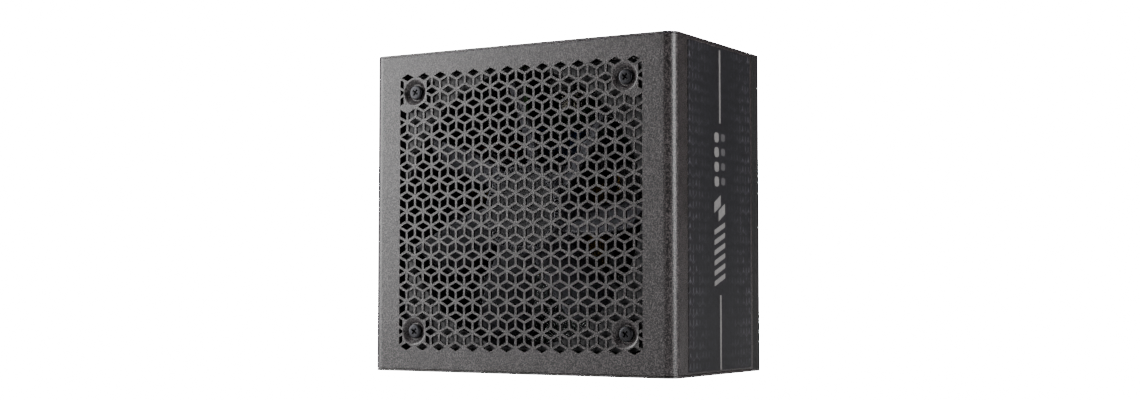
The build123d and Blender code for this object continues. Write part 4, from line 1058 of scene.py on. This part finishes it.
# %% Eased parts of the main board
for name, width, finish, slot in (
        ("bulk_capacitors", 0.3, SLEEVE, "capacitor_sleeve"),
        ("output_capacitors", 0.2, SLEEVE, "capacitor_sleeve"),
        ("x_capacitors", 0.8, FILM_BOX, "film_capacitor"), ("inrush_relay", 0.6, EPOXY, "relay_case"),
        ("rectifier_heatsink", 0.2, ALUMINIUM, "aluminium_sink"),
        ("primary_heatsink", 0.2, ALUMINIUM, "aluminium_sink"),
        ("output_heatsink", 0.2, ALUMINIUM, "aluminium_sink"), ("main_transformer", 0.4, FERRITE, "ferrite"),
        ("surge_varistor", 0.8, CERAMIC, "ceramic_disc"), ("y_capacitors", 0.8, CERAMIC, "ceramic_disc"),
        ("switching_transistors", 0.3, EPOXY, "moulded_epoxy"),
        ("rectifier_bridge", 0.4, EPOXY, "moulded_epoxy"),
        ("board_screws", 0.15, STEEL, "steel"), ("earth_screw", 0.2, STEEL, "steel")):
    hand_over(eased("finished_" + name, [name], width, segments=2), "case", finish, slot, name)


# %% [markdown]
# ## Light, floor and camera
#
# A pale floor, a large soft light on the left that lifts the fan face and falls off across it, and a narrow
# one on the right whose reflection runs down the rounded corner. The sweep behind is white, but it is lit
# apart from the object and adds little light of its own, so the side label stays dark. The camera stands
# low, a little over half a metre away, and looks slightly up.

# %% Floor and backdrop
SEEN_WHITE = 30.0
FLOOR_GAP = mm(0.05)


def pale_ground():
    """Matt card that glows white where the camera sees it, yet throws little light back at the object."""
    material, tree, shader, place = new_finish("pale_studio_card")
    fibre = add(tree, "TexNoise", {"Vector": place, "Scale": per_mm(40), "Detail": 2.0})
    color = add(tree, "ValToRGB", {"Fac": fibre}, stops=[(0.3, "d8d8d8"), (0.7, "dedede")])
    drive(tree, shader, base_color=color)
    shader.inputs["Roughness"].default_value = 0.9
    glow = add(tree, "Emission", {"Strength": SEEN_WHITE})
    path = add(tree, "LightPath")
    share = add(tree, "Math", {0: path.outputs["Is Camera Ray"], 1: 0.86}, operation="MULTIPLY")
    both = add(tree, "MixShader", {"Fac": share, 1: shader, 2: glow})
    tree.links.new(both.outputs[0], tree.nodes["Material Output"].inputs["Surface"])
    return material


clear_selection()
bpy.ops.mesh.primitive_plane_add(size=12.0, location=(0, 0, cad_low.z - FLOOR_GAP))
floor = settle(named("studio_floor"))
floor.data.materials.append(pale_ground())

# %% World
world = bpy.data.worlds.new("studio")
bpy.context.scene.world = world
world.use_nodes = True
sky = world.node_tree
seen = add(sky, "Background", {"Color": (1, 1, 1, 1), "Strength": SEEN_WHITE})
lit = add(sky, "Background", {"Color": (1, 1, 1, 1), "Strength": 0.03})
ray = add(sky, "LightPath")
mixed = add(sky, "MixShader", {"Fac": ray.outputs["Is Camera Ray"], 1: lit, 2: seen})
sky.links.new(mixed.outputs[0], sky.nodes["World Output"].inputs["Surface"])


# %% Lights
def soft_light(name, azimuth, elevation, distance, size, power):
    """A rectangular softbox that faces the middle of the object. Azimuth 0 is in front, 90 on the right."""
    a, e = math.radians(azimuth), math.radians(elevation)
    towards = Vector((math.sin(a) * math.cos(e), -math.cos(a) * math.cos(e), math.sin(e)))
    light = bpy.data.lights.new(name, "AREA")
    light.shape = "RECTANGLE"
    light.size, light.size_y = size
    light.energy = power
    lamp = bpy.data.objects.new(name, light)
    bpy.context.scene.collection.objects.link(lamp)
    lamp.location = (cad_low + cad_high) / 2 + towards * distance
    lamp.rotation_euler = towards.to_track_quat("Z", "Y").to_euler()
    return lamp


soft_light("left_softbox", -55, 17, 1.0, (0.6, 0.8), 17)
soft_light("right_strip", 82, 6, 0.9, (0.27, 0.9), 13)
soft_light("top_fill", -20, 75, 1.3, (1.0, 1.0), 4)
soft_light("back_fill", 190, 35, 1.4, (1.0, 0.8), 8)
print("lights", len(bpy.data.lights))

# %% Camera
camera_data = bpy.data.cameras.new("camera")
camera_data.lens = 51.16
camera_data.sensor_width = 36.0
camera_data.clip_start = 0.01
camera = bpy.data.objects.new("camera", camera_data)
bpy.context.scene.collection.objects.link(camera)
camera.location = mm(365.4, -621.6, 34.3)
camera.rotation_euler = (math.radians(90 + 3.28), 0.0, math.radians(30.35))
bpy.context.scene.camera = camera
print("camera", round(camera.location.length, 3), "m from the origin, lens", camera_data.lens, "mm")
